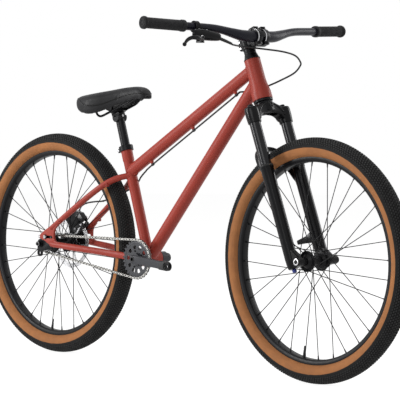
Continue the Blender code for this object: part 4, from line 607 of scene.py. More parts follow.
def finish_named(name):
    """The finishes of the bike, each made when it is first used."""
    if name in MADE:
        return MADE[name]
    plain = {
        "frame_paint": (chosen("frame_paint"), 0.42, 0.0, dict(tone=0.05, depth=0.0000005, specular=0.22)),
        "fork_paint": (chosen("fork_paint"), 0.2, 0.0, dict(tone=0.1, depth=0.0000005, specular=0.14)),
        "black_alloy": ((0.006, 0.006, 0.007), 0.34, 0.0, dict(tone=0.12, specular=0.13)),
        "rim_alloy": ((0.006, 0.006, 0.007), 0.38, 0.0, dict(tone=0.12, specular=0.13)),
        "bar_alloy": (chosen("bar"), 0.36, 0.0, dict(tone=0.1, depth=0.0000005, specular=0.16)),
        "stanchion_alloy": ((0.012, 0.012, 0.014), 0.16, 0.0, dict(tone=0.1, depth=0.0000004, specular=0.2)),
        "crank_alloy": (chosen("crank"), 0.36, 0.0, dict(tone=0.1, depth=0.0000005, specular=0.3)),
        # Bright silver; on the stem's faceplate and the front axle's end it stands for painted highlights.
        "edge_silver": ((0.52, 0.52, 0.53), 0.3, 0.95, dict(tone=0.06)),
        "spoke_steel": ((0.004, 0.004, 0.005), 0.42, 0.0, dict(tone=0.12, specular=0.12)),
        "silver_steel": ((0.42, 0.42, 0.43), 0.32, 1.0, dict(tone=0.08)),
        "chain_steel": ((0.29, 0.285, 0.27), 0.44, 1.0, dict(tone=0.16, patch=160.0)),
        "dark_steel": ((0.02, 0.019, 0.018), 0.45, 0.3, dict(tone=0.2, patch=120.0, specular=0.3)),
        "black_plastic": ((0.01, 0.01, 0.011), 0.48, 0.0, dict(tone=0.15, grain=1600.0, depth=0.00001, specular=0.3)),
        # Darker than the saddle's vinyl: painted shade of the seam's groove.
        "piping_plastic": ((0.003, 0.003, 0.003), 0.34, 0.0, dict(tone=0.15, specular=0.15)),
        "hose_plastic": ((0.009, 0.009, 0.01), 0.4, 0.0, dict(tone=0.15, specular=0.3)),
        "knob_blue": (chosen("knob"), 0.32, 0.5, dict(tone=0.08)),
        "tread_rubber": (shaded(chosen("tread"), 2.4), 0.78, 0.0,
            dict(tone=0.25, patch=60.0, grain=1300.0, depth=0.00002, specular=0.22)),
        "grip_rubber": ((0.014, 0.014, 0.015), 0.72, 0.0, dict(tone=0.2, grain=1500.0, depth=0.00004, specular=0.22)),
        "nipple_alloy": ((0.02, 0.02, 0.022), 0.35, 0.5, dict(tone=0.1)),
    }
    if name in plain:
        colour, roughness, metallic, more = plain[name]
        plain_finish(name, colour, roughness, metallic, **more)
    elif name == "rotor_steel":
        ringed_finish(name, REAR_HUB, (0.46, 0.46, 0.47), 0.28, 1.0, 0.0006, 0.000006)
    elif name == "front_tyre_rubber":
        tyre_finish(name, FRONT_HUB)
    elif name == "rear_tyre_rubber":
        tyre_finish(name, REAR_HUB)
    elif name == "saddle_vinyl":
        vinyl_finish(name)
    return MADE[name]


def give_finish(obj, finish):
    obj.data.materials.clear()
    obj.data.materials.append(finish_named(finish))
    return obj


def finish_piece(obj, body, finish, *nodes, slot=None, angle=35.0):
    """Shade a finished piece, give it its finish and put it on its body. The slot argument is not used."""
    smooth(obj, angle)
    if finish:
        give_finish(obj, finish)
    slot = slot or finish
    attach(obj, body)
    if nodes:
        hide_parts(*nodes)
    return obj


def painted(obj, node):
    """Finish one piece of the frame's body in the frame's paint."""
    return finish_piece(obj, "frame", "frame_paint", node)


def assemble(name, pieces, body, slot, place=WORLD):
    """Join pieces that have their finishes into the one that replaces the node of its name."""
    return finish_piece(settle(joined(name, pieces), name, place), body, None, name.lower(), slot=slot)


# Weld beads and bolts

BEAD_STEPS = 84


def radius_from_profile(profile, height):
    """Outer radius of a turned piece at a height on its axis."""
    for (r0, z0), (r1, z1) in zip(profile, profile[1:]):
        if z0 <= height <= z1:
            return r0 + (r1 - r0) * (height - z0) / max(z1 - z0, 1e-9)
    return profile[0][0] if height < profile[0][1] else profile[-1][0]


HEAD_TUBE_OUTSIDE = mm((28.3, 8), (28.3, 28), (24, 55), (23, 66), (23, 128))


def meeting_line(start, end, wide, other, other_radius, high=None):
    """Where a tube from start to end meets another turned tube, whose Z axis is the place other."""
    start = Vector(start)
    end = Vector(end)
    heading = facing(start, end).to_3x3()
    inverse = other.inverted()
    length = (end - start).length
    line = []
    for k in range(BEAD_STEPS):
        turn = math.tau * k / BEAD_STEPS
        offset = heading @ Vector((wide * math.cos(turn), (high or wide) * math.sin(turn), 0.0))
        low, far = 0.0, length
        for _ in range(40):
            middle = (low + far) / 2
            point = inverse @ (start + offset + (end - start) * (middle / length))
            if math.hypot(point.x, point.y) > other_radius(point.z):
                low = middle
            else:
                far = middle
        line.append(start + offset + (end - start) * (low / length))
    return line


def weld_bead(name, line, radius=None):
    """A rippled bead along a closed line."""
    radius = radius or size_of("weld_radius")
    rings = []
    count = len(line)
    for i, point in enumerate(line):
        ahead = (line[(i + 1) % count] - line[i - 1]).normalized()
        side = ahead.orthogonal().normalized()
        up = ahead.cross(side)
        size = radius * (1.0 + 0.2 * math.cos(math.tau * i / 3))
        rings.append(oval(point, side, up, size, size, 8))
    reference = rings[0]
    for ring in rings[1:]:
        shift = min(range(8), key=lambda s: (ring[s] - reference[0]).length)
        ring[:] = ring[shift:] + ring[:shift]
        if (ring[2] - reference[2]).length > (ring[6] - reference[2]).length:
            ring[1:] = ring[:0:-1]
        reference = ring
    return merge(loft(name, rings, loop=True))


def bolt_pattern():
    """A socket bolt's head of 4 mm radius, modelled once, with its seat at the origin."""
    if "Bolt_pattern" in bpy.data.objects:
        return bpy.data.objects["Bolt_pattern"]
    head = turned("Bolt_pattern", mm((0, -1), (4, -1), (4, 2.4), (3.4, 3.1), (0, 3.1)), steps=24)
    bpy.ops.mesh.primitive_cylinder_add(vertices=6, radius=0.0021, depth=0.004, location=(0.0, 0.0, 0.0032))
    return cut(head, made())


def bolt(name, seat, outward, radius=0.004):
    seat = Vector(seat)
    grown = Matrix.Scale(radius / 0.004, 4)
    return copied(bolt_pattern(), name, facing(seat, seat + Vector(outward)) @ grown)


def at_axle(centre):
    return Matrix.Translation(centre) @ ALONG_AXLE


# Frame

def head_core(radius):
    """What a tube that meets the head tube is cut by."""
    return rod("Core", STEERING @ Vector((0.0, 0.0, -0.02)), STEERING @ Vector((0.0, 0.0, 0.16)), radius, 48)


def seat_core():
    return rod("Core", CRANK, SEAT @ Vector((0.0, 0.0, 0.4)), 0.0156, 48)


def shell_core():
    return along(CRANK.x, CRANK.z, -0.06, 0.06, 0.0217, "Core", 48)


TOP_TUBE_ENDS = (Vector((-0.20968, 0.0, 0.56486)), Vector((0.3008, 0.0, 0.86496)))
DOWN_TUBE_ENDS = (CRANK, Vector((0.3146, 0.0, 0.82902)))
SEATSTAY_PATH = mm((-483, 77.8, 387), (-440, 73.5, 416), (-385, 67.5, 453), (-330, 61.5, 489), (-290, 54, 515),
    (-260, 42, 534), (-238, 29, 545), (-218, 16, 551), (-205, 8, 554))
CHAINSTAY_PATH = mm((-483, 77.8, 340), (-440, 74.2, 336.5), (-390, 68, 332.5), (-340, 59, 328.5), (-290, 50, 324.5),
    (-245, 43.5, 320.5), (-205, 37.5, 316.5), (-170, 31, 313), (-135, 25.5, 310.5))
CHAINSTAY_WIDTHS = [0.008, 0.008, 0.008, 0.0078, 0.007, 0.006, 0.0055, 0.0065, 0.008]


class BIKE_OT_head_tube(bpy.types.Operator):
    """Make the tapered head tube, its bearing cups and its cover"""
    bl_idname = "bike.head_tube"
    bl_label = "Head tube and headset"

    def execute(self, context):
        head = turned("Head_tube", mm((20.5, 8), (27.6, 8), (28.3, 8.8), (28.3, 27.5), (28.1, 30), (26.2, 41),
            (24.6, 51), (23.6, 59), (23.1, 67), (23, 74), (23, 127.2), (22.4, 128), (18.8, 128), (18.8, 70),
            (20.5, 40)), STEERING, 64)
        painted(head, "head_tube")
        lower = turned("Lower_headset_cup", mm((20.2, 0.6), (25.8, 0.6), (27.5, 2), (27.5, 4.2), (27, 4.5),
            (27, 4.9), (27.5, 5.2), (27.5, 7), (26.8, 7.7), (20.2, 7.7)), STEERING, 64)
        finish_piece(lower, "frame", "black_alloy", "lower_headset_cup")
        upper = turned("Upper_headset_cup", mm((17.6, 128.3), (22.8, 128.3), (23.4, 128.8), (23.4, 130.6),
            (22.9, 131.3), (17.6, 131.3)), STEERING, 64)
        finish_piece(upper, "frame", "black_alloy", "upper_headset_cup")
        cover = turned("Headset_cover", mm((14.8, 131.6), (22.2, 131.6), (22.1, 132.2), (20.8, 134.6),
            (18.6, 142.5), (18, 144.6), (17.2, 144.8), (17.2, 149.2), (16.8, 149.4), (16.8, 149.7), (17.2, 149.9),
            (17.2, 154.2), (16.8, 154.4), (16.8, 154.7), (17.2, 154.9), (17.2, 159.2), (14.8, 159.2)), STEERING, 64)
        finish_piece(cover, "steering", "black_alloy", "headset_cover")
        return {"FINISHED"}


class BIKE_OT_frame_tubes(bpy.types.Operator):
    """Make the top, down and seat tubes and the bottom bracket shell, with their weld beads"""
    bl_idname = "bike.frame_tubes"
    bl_label = "Frame tubes"

    def execute(self, context):
        start, end = TOP_TUBE_ENDS
        top = cut(rod("Top_tube", start, end, 0.0175, 56), head_core(0.0226), seat_core())
        below = Vector(ACROSS).cross(end - start).normalized()
        guides = []
        for share in (0.159, 0.498, 0.835):
            point = start.lerp(end, share)
            stop = turned("Hose_guide", mm((0, 15.5), (7.2, 15.8), (5.8, 19), (4.6, 22.5), (4.4, 25), (0, 25)),
                facing(point, point + below), 24)
            guides.append(stop)
        top = joined("Top_tube", [top] + guides)
        painted(top, "top_tube")
        down = cut(rod("Down_tube", DOWN_TUBE_ENDS[0], DOWN_TUBE_ENDS[1], 0.019, 56), head_core(0.0228),
            shell_core(), seat_core(), rod("Core", start, end, 0.0172, 48))
        painted(down, "down_tube")
        seat = turned("Seat_tube", mm((13.9, 0), (15.9, 0), (15.9, 298.5), (16.3, 300), (17.1, 303), (17.1, 344.4),
            (16.6, 345), (13.9, 345)), SEAT, 56)
        painted(cut(seat, shell_core()), "seat_tube")
        shell = turned("Bottom_bracket_shell", mm((17.5, -36.5), (21.2, -36.5), (22, -35.7), (22, 35.7),
            (21.2, 36.5), (17.5, 36.5)), at_axle(CRANK), 64)
        painted(shell, "bottom_bracket_shell")
        head_radius = lambda z: radius_from_profile(HEAD_TUBE_OUTSIDE, z)
        crank_axle = at_axle(CRANK)
        top_to_head = weld_bead("Bead", meeting_line(start, end, 0.0175, STEERING, head_radius))
        down_to_head = weld_bead("Bead", meeting_line(CRANK, DOWN_TUBE_ENDS[1], 0.019, STEERING, head_radius))
        top_to_seat = weld_bead("Bead", meeting_line(end, start, 0.0175, SEAT, lambda z: 0.0159))
        down_to_shell = weld_bead("Bead", meeting_line(DOWN_TUBE_ENDS[1], CRANK, 0.019, crank_axle,
            lambda z: 0.022))
        seat_to_shell = weld_bead("Bead", meeting_line(SEAT @ Vector((0, 0, 0.3)), CRANK, 0.0159, crank_axle,
            lambda z: 0.022))
        beads = joined("Frame_weld_beads", [top_to_head, down_to_head, top_to_seat, down_to_shell, seat_to_shell])
        finish_piece(beads, "frame", "frame_paint", angle=60.0)
        return {"FINISHED"}


class BIKE_OT_stays(bpy.types.Operator):
    """Make the seatstays and chainstays with their weld beads"""
    bl_idname = "bike.stays"
    bl_label = "Stays"

    def execute(self, context):
        path = smooth_path(SEATSTAY_PATH, 6)
        left_seatstay = pipe("Left_seatstay", path, at_shares([0.0078, 0.009, 0.009, 0.009, 0.009], len(path)), 28)
        cut(left_seatstay, seat_core())
        path = smooth_path(CHAINSTAY_PATH, 6)
        widths = at_shares(CHAINSTAY_WIDTHS, len(path))
        heights = at_shares([0.0088, 0.01, 0.01, 0.01, 0.01], len(path))
        left_chainstay = loft("Left_chainstay", section_rings(path, list(zip(widths, heights)), 28))
        cut(left_chainstay, shell_core())
        bosses = []
        for x, y, z in ((-0.44, 0.0735, 0.41), (-0.2597, 0.045, 0.5246)):
            bosses.append(turned("Boss", mm((0, 0), (4.8, 0), (4.8, 9.4), (4.4, 9.8), (2.6, 9.8), (2.6, 4), (0, 4)),
                facing((x, y, z), (x, y + 1.0, z)), 28))
        left_seatstay = joined("Left_seatstay", [left_seatstay] + bosses)
        right_seatstay = mirrored(left_seatstay, "Right_seatstay")
        right_chainstay = mirrored(left_chainstay, "Right_chainstay")
        for piece, node in ((left_seatstay, "left_seatstay"), (right_seatstay, "right_seatstay"),
                (left_chainstay, "left_chainstay"), (right_chainstay, "right_chainstay")):
            painted(piece, node)
        low, high = Vector(SEATSTAY_PATH[-3]), Vector(SEATSTAY_PATH[-1]) + Vector((0.02, -0.015, 0.004))
        seat_bead = weld_bead("Bead", meeting_line(low, high, 0.009, SEAT, lambda z: 0.0159), 0.0015)
        low, high = Vector(CHAINSTAY_PATH[-3]), Vector(CHAINSTAY_PATH[-1]) + Vector((0.02, -0.003, -0.001))
        shell_bead = weld_bead("Bead", meeting_line(low, high, 0.0078, at_axle(CRANK), lambda z: 0.022,
            high=0.0098), 0.0015)
        beads = joined("Left_stay_beads", [seat_bead, shell_bead])
        right_beads = mirrored(beads, "Right_stay_beads")
        for piece in (beads, right_beads):
            finish_piece(piece, "frame", "frame_paint", angle=60.0)
        return {"FINISHED"}


class BIKE_OT_dropouts(bpy.types.Operator):
    """Make the dropout plates, the sliders, their bolts and the tension screws"""
    bl_idname = "bike.dropouts"
    bl_label = "Dropouts and sliders"

    def execute(self, context):
        for side, sign in SIDES:
            plate_piece = cad_copy(side + "_dropout", side.title() + "_dropout", 0.0009, 3)
            painted(plate_piece, side + "_dropout")
            slider = cad_copy(side + "_axle_slider", side.title() + "_axle_slider", 0.0004)
            finish_piece(slider, "frame", "black_alloy", side + "_axle_slider")
            screw = cad_copy(side + "_tension_screw", side.title() + "_tension_screw", 0.0002)
            finish_piece(screw, "frame", "silver_steel", side + "_tension_screw")
            seat = REAR_HUB + Vector((0.032, sign * 0.0812, 0.0225))
            washer = turned("Washer", mm((0, -0.4), (7, -0.4), (7.3, 0), (7.3, 1), (6.9, 1.4), (0, 1.4)),
                facing(seat, seat + Vector((0.0, sign, 0.0))), 32)
            shank = along(REAR_HUB.x + 0.032, REAR_HUB.z + 0.0225, *sorted((sign * 0.068, sign * 0.0815)), 0.0034,
                "Shank", 20)
            head = bolt("Head", seat + Vector((0.0, sign * 0.0008, 0.0)), (0.0, sign, 0.0), 0.0052)
            piece = joined(side.title() + "_slider_bolt", [give_finish(washer, "black_alloy"),
                give_finish(shank, "black_alloy"), give_finish(head, "silver_steel")])
            finish_piece(piece, "frame", None, side + "_slider_bolt", slot="black_alloy")
        return {"FINISHED"}


class BIKE_OT_bottom_bracket(bpy.types.Operator):
    """Make the bottom bracket cups with their notched rims"""
    bl_idname = "bike.bottom_bracket"
    bl_label = "Bottom bracket"

    def execute(self, context):
        body = turned("Bottom_bracket", mm((12.3, -39.9), (20, -39.9), (20.8, -39.3), (20.8, -36.8), (17.2, -36.8),
            (17.2, 36.8), (20.8, 36.8), (20.8, 39.3), (20, 39.9), (12.3, 39.9)), WORLD, 64)
        bpy.ops.mesh.primitive_cylinder_add(vertices=10, radius=0.0013, depth=0.1, location=(0.0212, 0.0, 0.0))
        notches = repeated(settle(made(), "Notches"), 16, axis=UP)
        settle(cut(body, notches), "Bottom_bracket", at_axle(CRANK))
        finish_piece(body, "frame", "black_alloy", "bottom_bracket")
        return {"FINISHED"}


# Wheels

TYRE_HALF = mm((280.5, 12.5), (283.5, 13.1), (285.2, 15.8), (288, 20.4), (291.8, 24.3), (296.5, 27.2), (302, 28.8),
    (306, 29.2), (309.4, 29), (309.8, 29.4), (313, 29), (318.5, 26.7), (324, 23.4), (328.5, 19), (332.2, 13),
    (334.6, 6.4))
TYRE_INSIDE = mm((330.5, 0), (327, 12.5), (309, 25.2), (294, 18), (280.5, 9.5))
CASING_CROWN = 0.3354
# Each row of lugs: place across, half width, half length, share of a step round the tyre, skew
TREAD_LUGS = (
    (0.0034, 0.0026, 0.0031, 0.0, 0.35), (0.0094, 0.0023, 0.003, 0.5, 0.3), (0.0148, 0.0022, 0.003, 0.0, 0.25),
    (0.0196, 0.0019, 0.003, 0.5, 0.2), (0.0236, 0.0019, 0.003, 0.0, 0.1), (0.0264, 0.0017, 0.0028, 0.5, 0.0))
# Radii inside which painted shade darkens the casing where it meets the rim.
BEAD_SHADE_EDGE = (0.2838, 0.2852)
TREAD_EDGE = (0.3092, 0.31)


def casing_point(y):
    """Radius of the casing, and how far its surface leans outward there, at a place across the tyre."""
    line = [(CASING_CROWN, 0.0)] + [point for point in reversed(TYRE_HALF) if point[0] > 0.3125]
    across = abs(y)
    for (r0, y0), (r1, y1) in zip(line, line[1:]):
        if y0 <= across <= y1:
            share = (across - y0) / (y1 - y0)
            lean = math.atan2(r0 - r1, y1 - y0)
            return r0 + (r1 - r0) * share, math.copysign(lean, y)
    return line[-1][0], math.copysign(1.2, y)


def tread_lug(hub, y, half_width, half_length, turn, skew):
    """One tapered lug that stands on the casing, turned round the wheel from its top."""
    height = size_of("lug_height")
    bpy.ops.mesh.primitive_cube_add(size=1.0)
    lug = made()
    for vertex in lug.data.vertices:
        taper = 0.8 if vertex.co.z > 0.0 else 1.0
        vertex.co = (vertex.co.x * 2.0 * half_length * taper, vertex.co.y * 2.0 * half_width * taper,
            vertex.co.z * (height + 0.0012) + (height - 0.0012) / 2)
    radius, lean = casing_point(y)
    place = (Matrix.Translation(hub) @ Matrix.Rotation(turn, 4, "Y") @ Matrix.Translation((0.0, y, radius))
        @ Matrix.Rotation(-lean, 4, "X") @ Matrix.Rotation(skew, 4, "Z"))
    return settle(lug, "Lug", place)


def wheel_tyre(end, hub):
    half = TYRE_HALF
    outer = [(r, -y) for r, y in half] + [(CASING_CROWN, 0.0)] + list(reversed(half))
    inner = list(reversed(TYRE_INSIDE)) + [(r, -y) for r, y in TYRE_INSIDE[1:]]
    casing = give_finish(turned(end + "_tyre", outer + inner, at_axle(hub), 144), end.lower() + "_tyre_rubber")
    rows = size_of("lug_rows")
    step = math.tau / rows
    lugs = []
    for sign in (-1.0, 1.0):
        for y, half_width, half_length, phase, skew in TREAD_LUGS:
            lugs.append(tread_lug(hub, sign * y, half_width, half_length, step * phase, sign * skew))
    tread = give_finish(repeated(joined(end + "_tread", lugs), rows, hub), "tread_rubber")
    tyre = joined(end + "_tyre", [casing, tread])
    finish_piece(tyre, end.lower() + "_wheel", None, end.lower() + "_tyre", slot="tyre_rubber")


def wheel_rim(end, hub, valve_turn):
    half = mm((270, 0), (270, 8.8), (270.6, 11.2), (272, 13.4), (274.5, 15), (279, 15.6), (283.6, 16),
        (284.6, 15.7), (284.6, 14.7), (282.2, 14.2), (279.9, 13.8), (279, 11.2), (278.2, 6))
    profile = half + [(r, -y) for r, y in reversed(half)][:-1]
    rim = give_finish(turned(end + "_rim", profile, at_axle(hub), 144), "rim_alloy")
    spot = facing(hub + Vector((math.cos(valve_turn), 0.0, math.sin(valve_turn))) * 0.2702, hub)
    valve = give_finish(turned("Valve", mm((0, -1), (4.6, -1), (4.6, 1), (3.1, 2.2), (3, 19), (2.4, 19.6),
        (2.4, 21.5), (2.9, 21.9), (2.9, 30), (2.1, 31.2), (0, 31.2)), spot, 20), "black_plastic")
    piece = joined(end + "_rim", [rim, valve])
    finish_piece(piece, end.lower() + "_wheel", None, end.lower() + "_rim", slot="black_alloy")


def spoke_wire(hub, flange, face, rim_turn, hub_turn):
    """A bent wire through its flange hole, with its head, and the nipple in the rim."""
    hole = hub + Vector((math.cos(hub_turn) * 0.0262, flange + face * 0.003, math.sin(hub_turn) * 0.0262))
    seat = hub + Vector((math.cos(rim_turn) * 0.27, math.copysign(0.0016, flange), math.sin(rim_turn) * 0.27))
    radius = size_of("spoke_radius")
    line = (seat - hole).normalized()
    elbow = hole + line * 0.0035
    back = Vector((hole.x, hub.y + flange - face * 0.0024, hole.z))
    wire = give_finish(pipe("Wire", [back, hole + Vector((0.0, -face * 0.0008, 0.0)), elbow, seat + line * 0.001],
        radius, 8), "spoke_steel")
    head = give_finish(rod("Head", back + Vector((0.0, -face * 0.0008, 0.0)),
        back + Vector((0.0, face * 0.0004, 0.0)), 0.0017, 8), "spoke_steel")
    tip = seat - line * 0.0115
    nipple = give_finish(pipe("Nipple", [tip, tip + line * 0.0008, tip + line * 0.006, tip + line * 0.0062, seat],
        [0.0015, 0.0019, 0.0019, 0.0022, 0.0022], 8), "nipple_alloy")
    return [wire, head, nipple]


def wheel_spokes(end, hub, flanges, phase):
    eighth = math.radians(22.5)
    wires = []
    for flange, offset in ((flanges[0], 0.0), (flanges[1], eighth / 2)):
        for m in (0, 1):
            rim_turn = math.radians(phase) + offset + m * eighth
            lean = math.radians(67.5) * (1 if m == 0 else -1)
            outward = math.copysign(1.0, flange - sum(flanges) / 2)
            wires += spoke_wire(hub, flange, outward if m == 0 else -outward, rim_turn, rim_turn + lean)
    piece = repeated(joined(end + "_spokes", wires), 8, hub)
    finish_piece(piece, end.lower() + "_wheel", None, end.lower() + "_spokes", slot="spoke_steel")


class BIKE_OT_tyres(bpy.types.Operator):
    """Make both tyres with their tread lugs"""
    bl_idname = "bike.tyres"
    bl_label = "Tyres"

    def execute(self, context):
        wheel_tyre("Front", FRONT_HUB)
        wheel_tyre("Rear", REAR_HUB)
        return {"FINISHED"}


class BIKE_OT_rims(bpy.types.Operator):
    """Make both rims and their valves"""
    bl_idname = "bike.rims"
    bl_label = "Rims"

    def execute(self, context):
        wheel_rim("Front", FRONT_HUB, math.radians(-99.0))
        wheel_rim("Rear", REAR_HUB, math.radians(-96.0))
        return {"FINISHED"}


class BIKE_OT_spokes(bpy.types.Operator):
    """Make the spokes of both wheels with their nipples"""
    bl_idname = "bike.spokes"
    bl_label = "Spokes"

    def execute(self, context):
        wheel_spokes("Front", FRONT_HUB, (-0.035, 0.022), 3.0)
        wheel_spokes("Rear", REAR_HUB, (-0.02, 0.033), 4.0)
        return {"FINISHED"}


def flange_profile(centre, core, outward):
    """One flange, from its inner side to its outer side, as (radius, y)."""
    thick = 0.0032 / 2
    line = [(core, centre - thick - 0.006), (core + 0.003, centre - thick - 0.0036),
        (0.02, centre - thick - 0.0006), (0.0284, centre - thick), (0.029, centre - thick + 0.0006),
        (0.029, centre + thick - 0.0006), (0.0284, centre + thick), (0.02, centre + thick)]
    return line if outward > 0 else [(r, 2 * centre - y) for r, y in reversed(line)]


class BIKE_OT_hubs(bpy.types.Operator):
    """Make the hubs with their flanges, and the axles"""
    bl_idname = "bike.hubs"
    bl_label = "Hubs and axles"

    def execute(self, context):
        front = (mm((7.9, -49.7), (11.5, -49.7), (12, -49.2), (12, -42.5), (14.5, -40.5)) + flange_profile(-0.035,
            0.0135, -1) + mm((13.5, -25), (12.8, -10), (12.8, 2), (13.5, 12)) + flange_profile(0.022, 0.0135, 1)
            + mm((16.5, 25), (16.5, 34), (22, 35), (22, 38), (17, 38), (12.2, 39), (12, 49.2), (11.5, 49.7),
            (7.9, 49.7)))
        hub = turned("Front_hub", front, at_axle(FRONT_HUB), 64)
        finish_piece(hub, "front_wheel", "black_alloy", "front_hub")
        rear = (mm((5.4, -28.5), (9.5, -28.5), (10, -28), (10, -26.2), (16, -25)) + flange_profile(-0.02, 0.015, -1)
            + mm((15, -11), (14.2, -2), (14.2, 12), (15, 23)) + flange_profile(0.033, 0.015, 1) + mm((17.5, 37),
            (17.5, 47.8), (22.5, 48.8), (22.5, 51.8), (17.2, 51.8), (17.2, 54.5), (10, 55.5), (10, 66.7),
            (9.5, 67.2), (5.4, 67.2)))
        hub = turned("Rear_hub", rear, at_axle(REAR_HUB), 64)
        finish_piece(hub, "rear_wheel", "black_alloy", "rear_hub")
        axle = give_finish(turned("Front_axle", mm((0, -79.6), (6.8, -79.6), (7.5, -78.8), (7.5, 79.9),
            (10.5, 79.9), (10.5, 83.5), (9.6, 84.4), (4.2, 84.4), (4.2, 81.5), (0, 81.5)), at_axle(FRONT_HUB), 48),
            "black_alloy")
        # Painted highlight: a silver ring on the front axle's right end, where the light rings its recess.
        ring = give_finish(turned("Ring", mm((6.2, -79.4), (9.2, -79.4), (9.4, -79.7), (9.3, -80.2), (8.8, -80.5),
            (6.6, -80.5), (6.2, -80.1)), at_axle(FRONT_HUB), 56), "edge_silver")
        assemble("Front_axle", [axle, ring], "lowers", "black_alloy")
        thread = [(0.0, -0.0883), (0.0044, -0.0883)]
        for k in range(4):
            thread += [(0.005, -0.0878 + 0.0008 * k), (0.0046, -0.0874 + 0.0008 * k)]
        half = thread + [(0.005, -0.085), (0.005, -0.06)]
        shaft = give_finish(turned("Shaft", half + [(r, -y) for r, y in reversed(half)], WORLD, 32), "black_alloy")
        nuts = []
        for _, sign in SIDES:
            bpy.ops.mesh.primitive_cylinder_add(vertices=6, radius=0.0086, depth=0.0088,
                location=(0.0, 0.0, sign * 0.0803))
            nut = give_finish(bevelled(settle(made(), "Nut"), 0.0008, 2), "black_alloy")
            washer = give_finish(turned("Washer", [(0.0, sign * 0.0739), (0.01, sign * 0.0739),
                (0.0105, sign * 0.0743), (0.0105, sign * 0.0755), (0.0099, sign * 0.076), (0.0, sign * 0.076)],
                WORLD, 40), "black_alloy")
            # A thin silver ring on each nut's outer face, round the axle's end.
            ring = give_finish(turned("Ring", [(0.0052, sign * 0.0842), (0.0066, sign * 0.0842),
                (0.0066, sign * 0.0852), (0.0062, sign * 0.0856), (0.0056, sign * 0.0856), (0.0052, sign * 0.0852)],
                WORLD, 40), "edge_silver")
            nuts += [nut, washer, ring]
        axle = joined("Rear_axle", [shaft] + nuts)
        settle(axle, "Rear_axle", at_axle(REAR_HUB))
        finish_piece(axle, "frame", None, "rear_axle", slot="black_alloy")
        return {"FINISHED"}


class BIKE_OT_rotor(bpy.types.Operator):
    """Make the brake rotor with its drilled band, arms and bolts"""
    bl_idname = "bike.rotor"
    bl_label = "Brake rotor"

    def execute(self, context):
        outside = []
        waves = 12
        for k in range(144):
            turn = math.tau * k / 144
            radius = 0.0793 + 0.0006 * math.cos(waves * turn)
            outside.append(polar(radius, turn))
        band = plate("Band", outside, 0.0521, 0.0539)
        cut(band, along(0.0, 0.0, 0.05, 0.056, 0.0655, "Hole", 96))
        holes = []
        for ring, turn in ((0.0765, 0.0), (0.0728, 0.1), (0.069, 0.2)):
            holes.append(along(ring * math.cos(turn), ring * math.sin(turn), 0.05, 0.056, 0.0017, "Hole", 10))
        cut(band, repeated(joined("Holes", holes), 24))
        centre = plate("Centre", ring_outline(0.0265, 64), 0.0521, 0.0539)
        cut(centre, along(0.0, 0.0, 0.05, 0.056, 0.0178, "Hole", 48))
        arm = plate("Arm", mm((22.5, -4.2), (40, -10.5), (56, -12), (67.2, -8.5), (67.2, -2), (56, -5.5), (41, -4),
            (25.5, 4)), 0.0522, 0.0538)
        arms = repeated(arm, 6)
        place = Matrix.Translation(REAR_HUB)
        pieces = [band, centre, arms]
        for k in range(6):
            turn = math.tau * (k + 0.5) / 6
            pieces.append(bolt("Bolt", round_axle(0.0222, turn, 0.0538), ACROSS, 0.003))
        for piece in pieces[:3]:
            bevelled(piece, 0.00015, 1)
            give_finish(piece, "rotor_steel")
        for piece in pieces[3:]:
            give_finish(piece, "silver_steel")
        rotor = joined("Brake_rotor", pieces)
        settle(rotor, "Brake_rotor", place)
        finish_piece(rotor, "rear_wheel", None, "brake_rotor", slot="silver_steel")
        return {"FINISHED"}


# Drive

RING_PITCH = 0.05671
COG_PITCH = 0.026533
CHAIN_Y = -0.05
RING_TEETH = 28
COG_TEETH = 13
CHAIN_LINKS = 86
CHAIN_PITCH = 0.0127


def toothed_outline(teeth, pitch_radius):
    points = []
    for k in range(teeth):
        for share, radius in mm((-500, -3.7), (-320, -3), (-170, 1.2), (-90, 2.9), (90, 2.9), (170, 1.2), (320, -3)):
            turn = math.tau * (k + share) / teeth
            points.append(polar(pitch_radius + radius, turn))
    return points


def rounded_box(half_wide, half_high, corner, steps=4):
    """Points of an upright rectangle with round corners, as (across, up)."""
    points = []
    for sx, sy, first in ((1, 1, 0.0), (-1, 1, 90.0), (-1, -1, 180.0), (1, -1, 270.0)):
        for k in range(steps + 1):
            turn = math.radians(first + 90.0 * k / steps)
            points.append((sx * (half_wide - corner) + corner * math.cos(turn), sy * (half_high - corner) + corner
                * math.sin(turn)))
    return points


class BIKE_OT_chainring(bpy.types.Operator):
    """Make the chainring with its teeth, openings and bolts"""
    bl_idname = "bike.chainring"
    bl_label = "Chainring"

    def execute(self, context):
        ring = plate("Chainring", toothed_outline(RING_TEETH, RING_PITCH), CHAIN_Y - 0.001, CHAIN_Y + 0.001)
        cut(ring, along(0.0, 0.0, -0.06, -0.04, 0.0193, "Hole", 64))
        window = plate("Window", [polar(radius, turn) for radius, turn in mm((29.8, -110), (31.2, -150), (38, -165),
            (40.8, -130), (41.6, 0), (40.8, 130), (38, 165), (31.2, 150), (29.8, 110))], -0.06, -0.04)
        cut(ring, repeated(window, 10))
        bevelled(ring, 0.0003, 1)
        give_finish(ring, "crank_alloy")
        raised_rim = give_finish(turned("Rim", mm((47, -51.4), (49.5, -51.6), (51, -51.2), (51, -50.5),
            (47, -50.5)), ALONG_AXLE, 96), "crank_alloy")
        bolts = []
        for k in range(5):
            turn = math.tau * (k + 0.5) / 5
            bolts.append(bolt("Bolt", round_axle(0.0243, turn, -0.051), (0.0, -1.0, 0.0), 0.0027))
            give_finish(bolts[-1], "black_alloy")
        assemble("Chainring", [ring, raised_rim] + bolts, "crankset", "crank_alloy", Matrix.Translation(CRANK)
            @ Matrix.Rotation(math.radians(4.0), 4, "Y"))
        return {"FINISHED"}


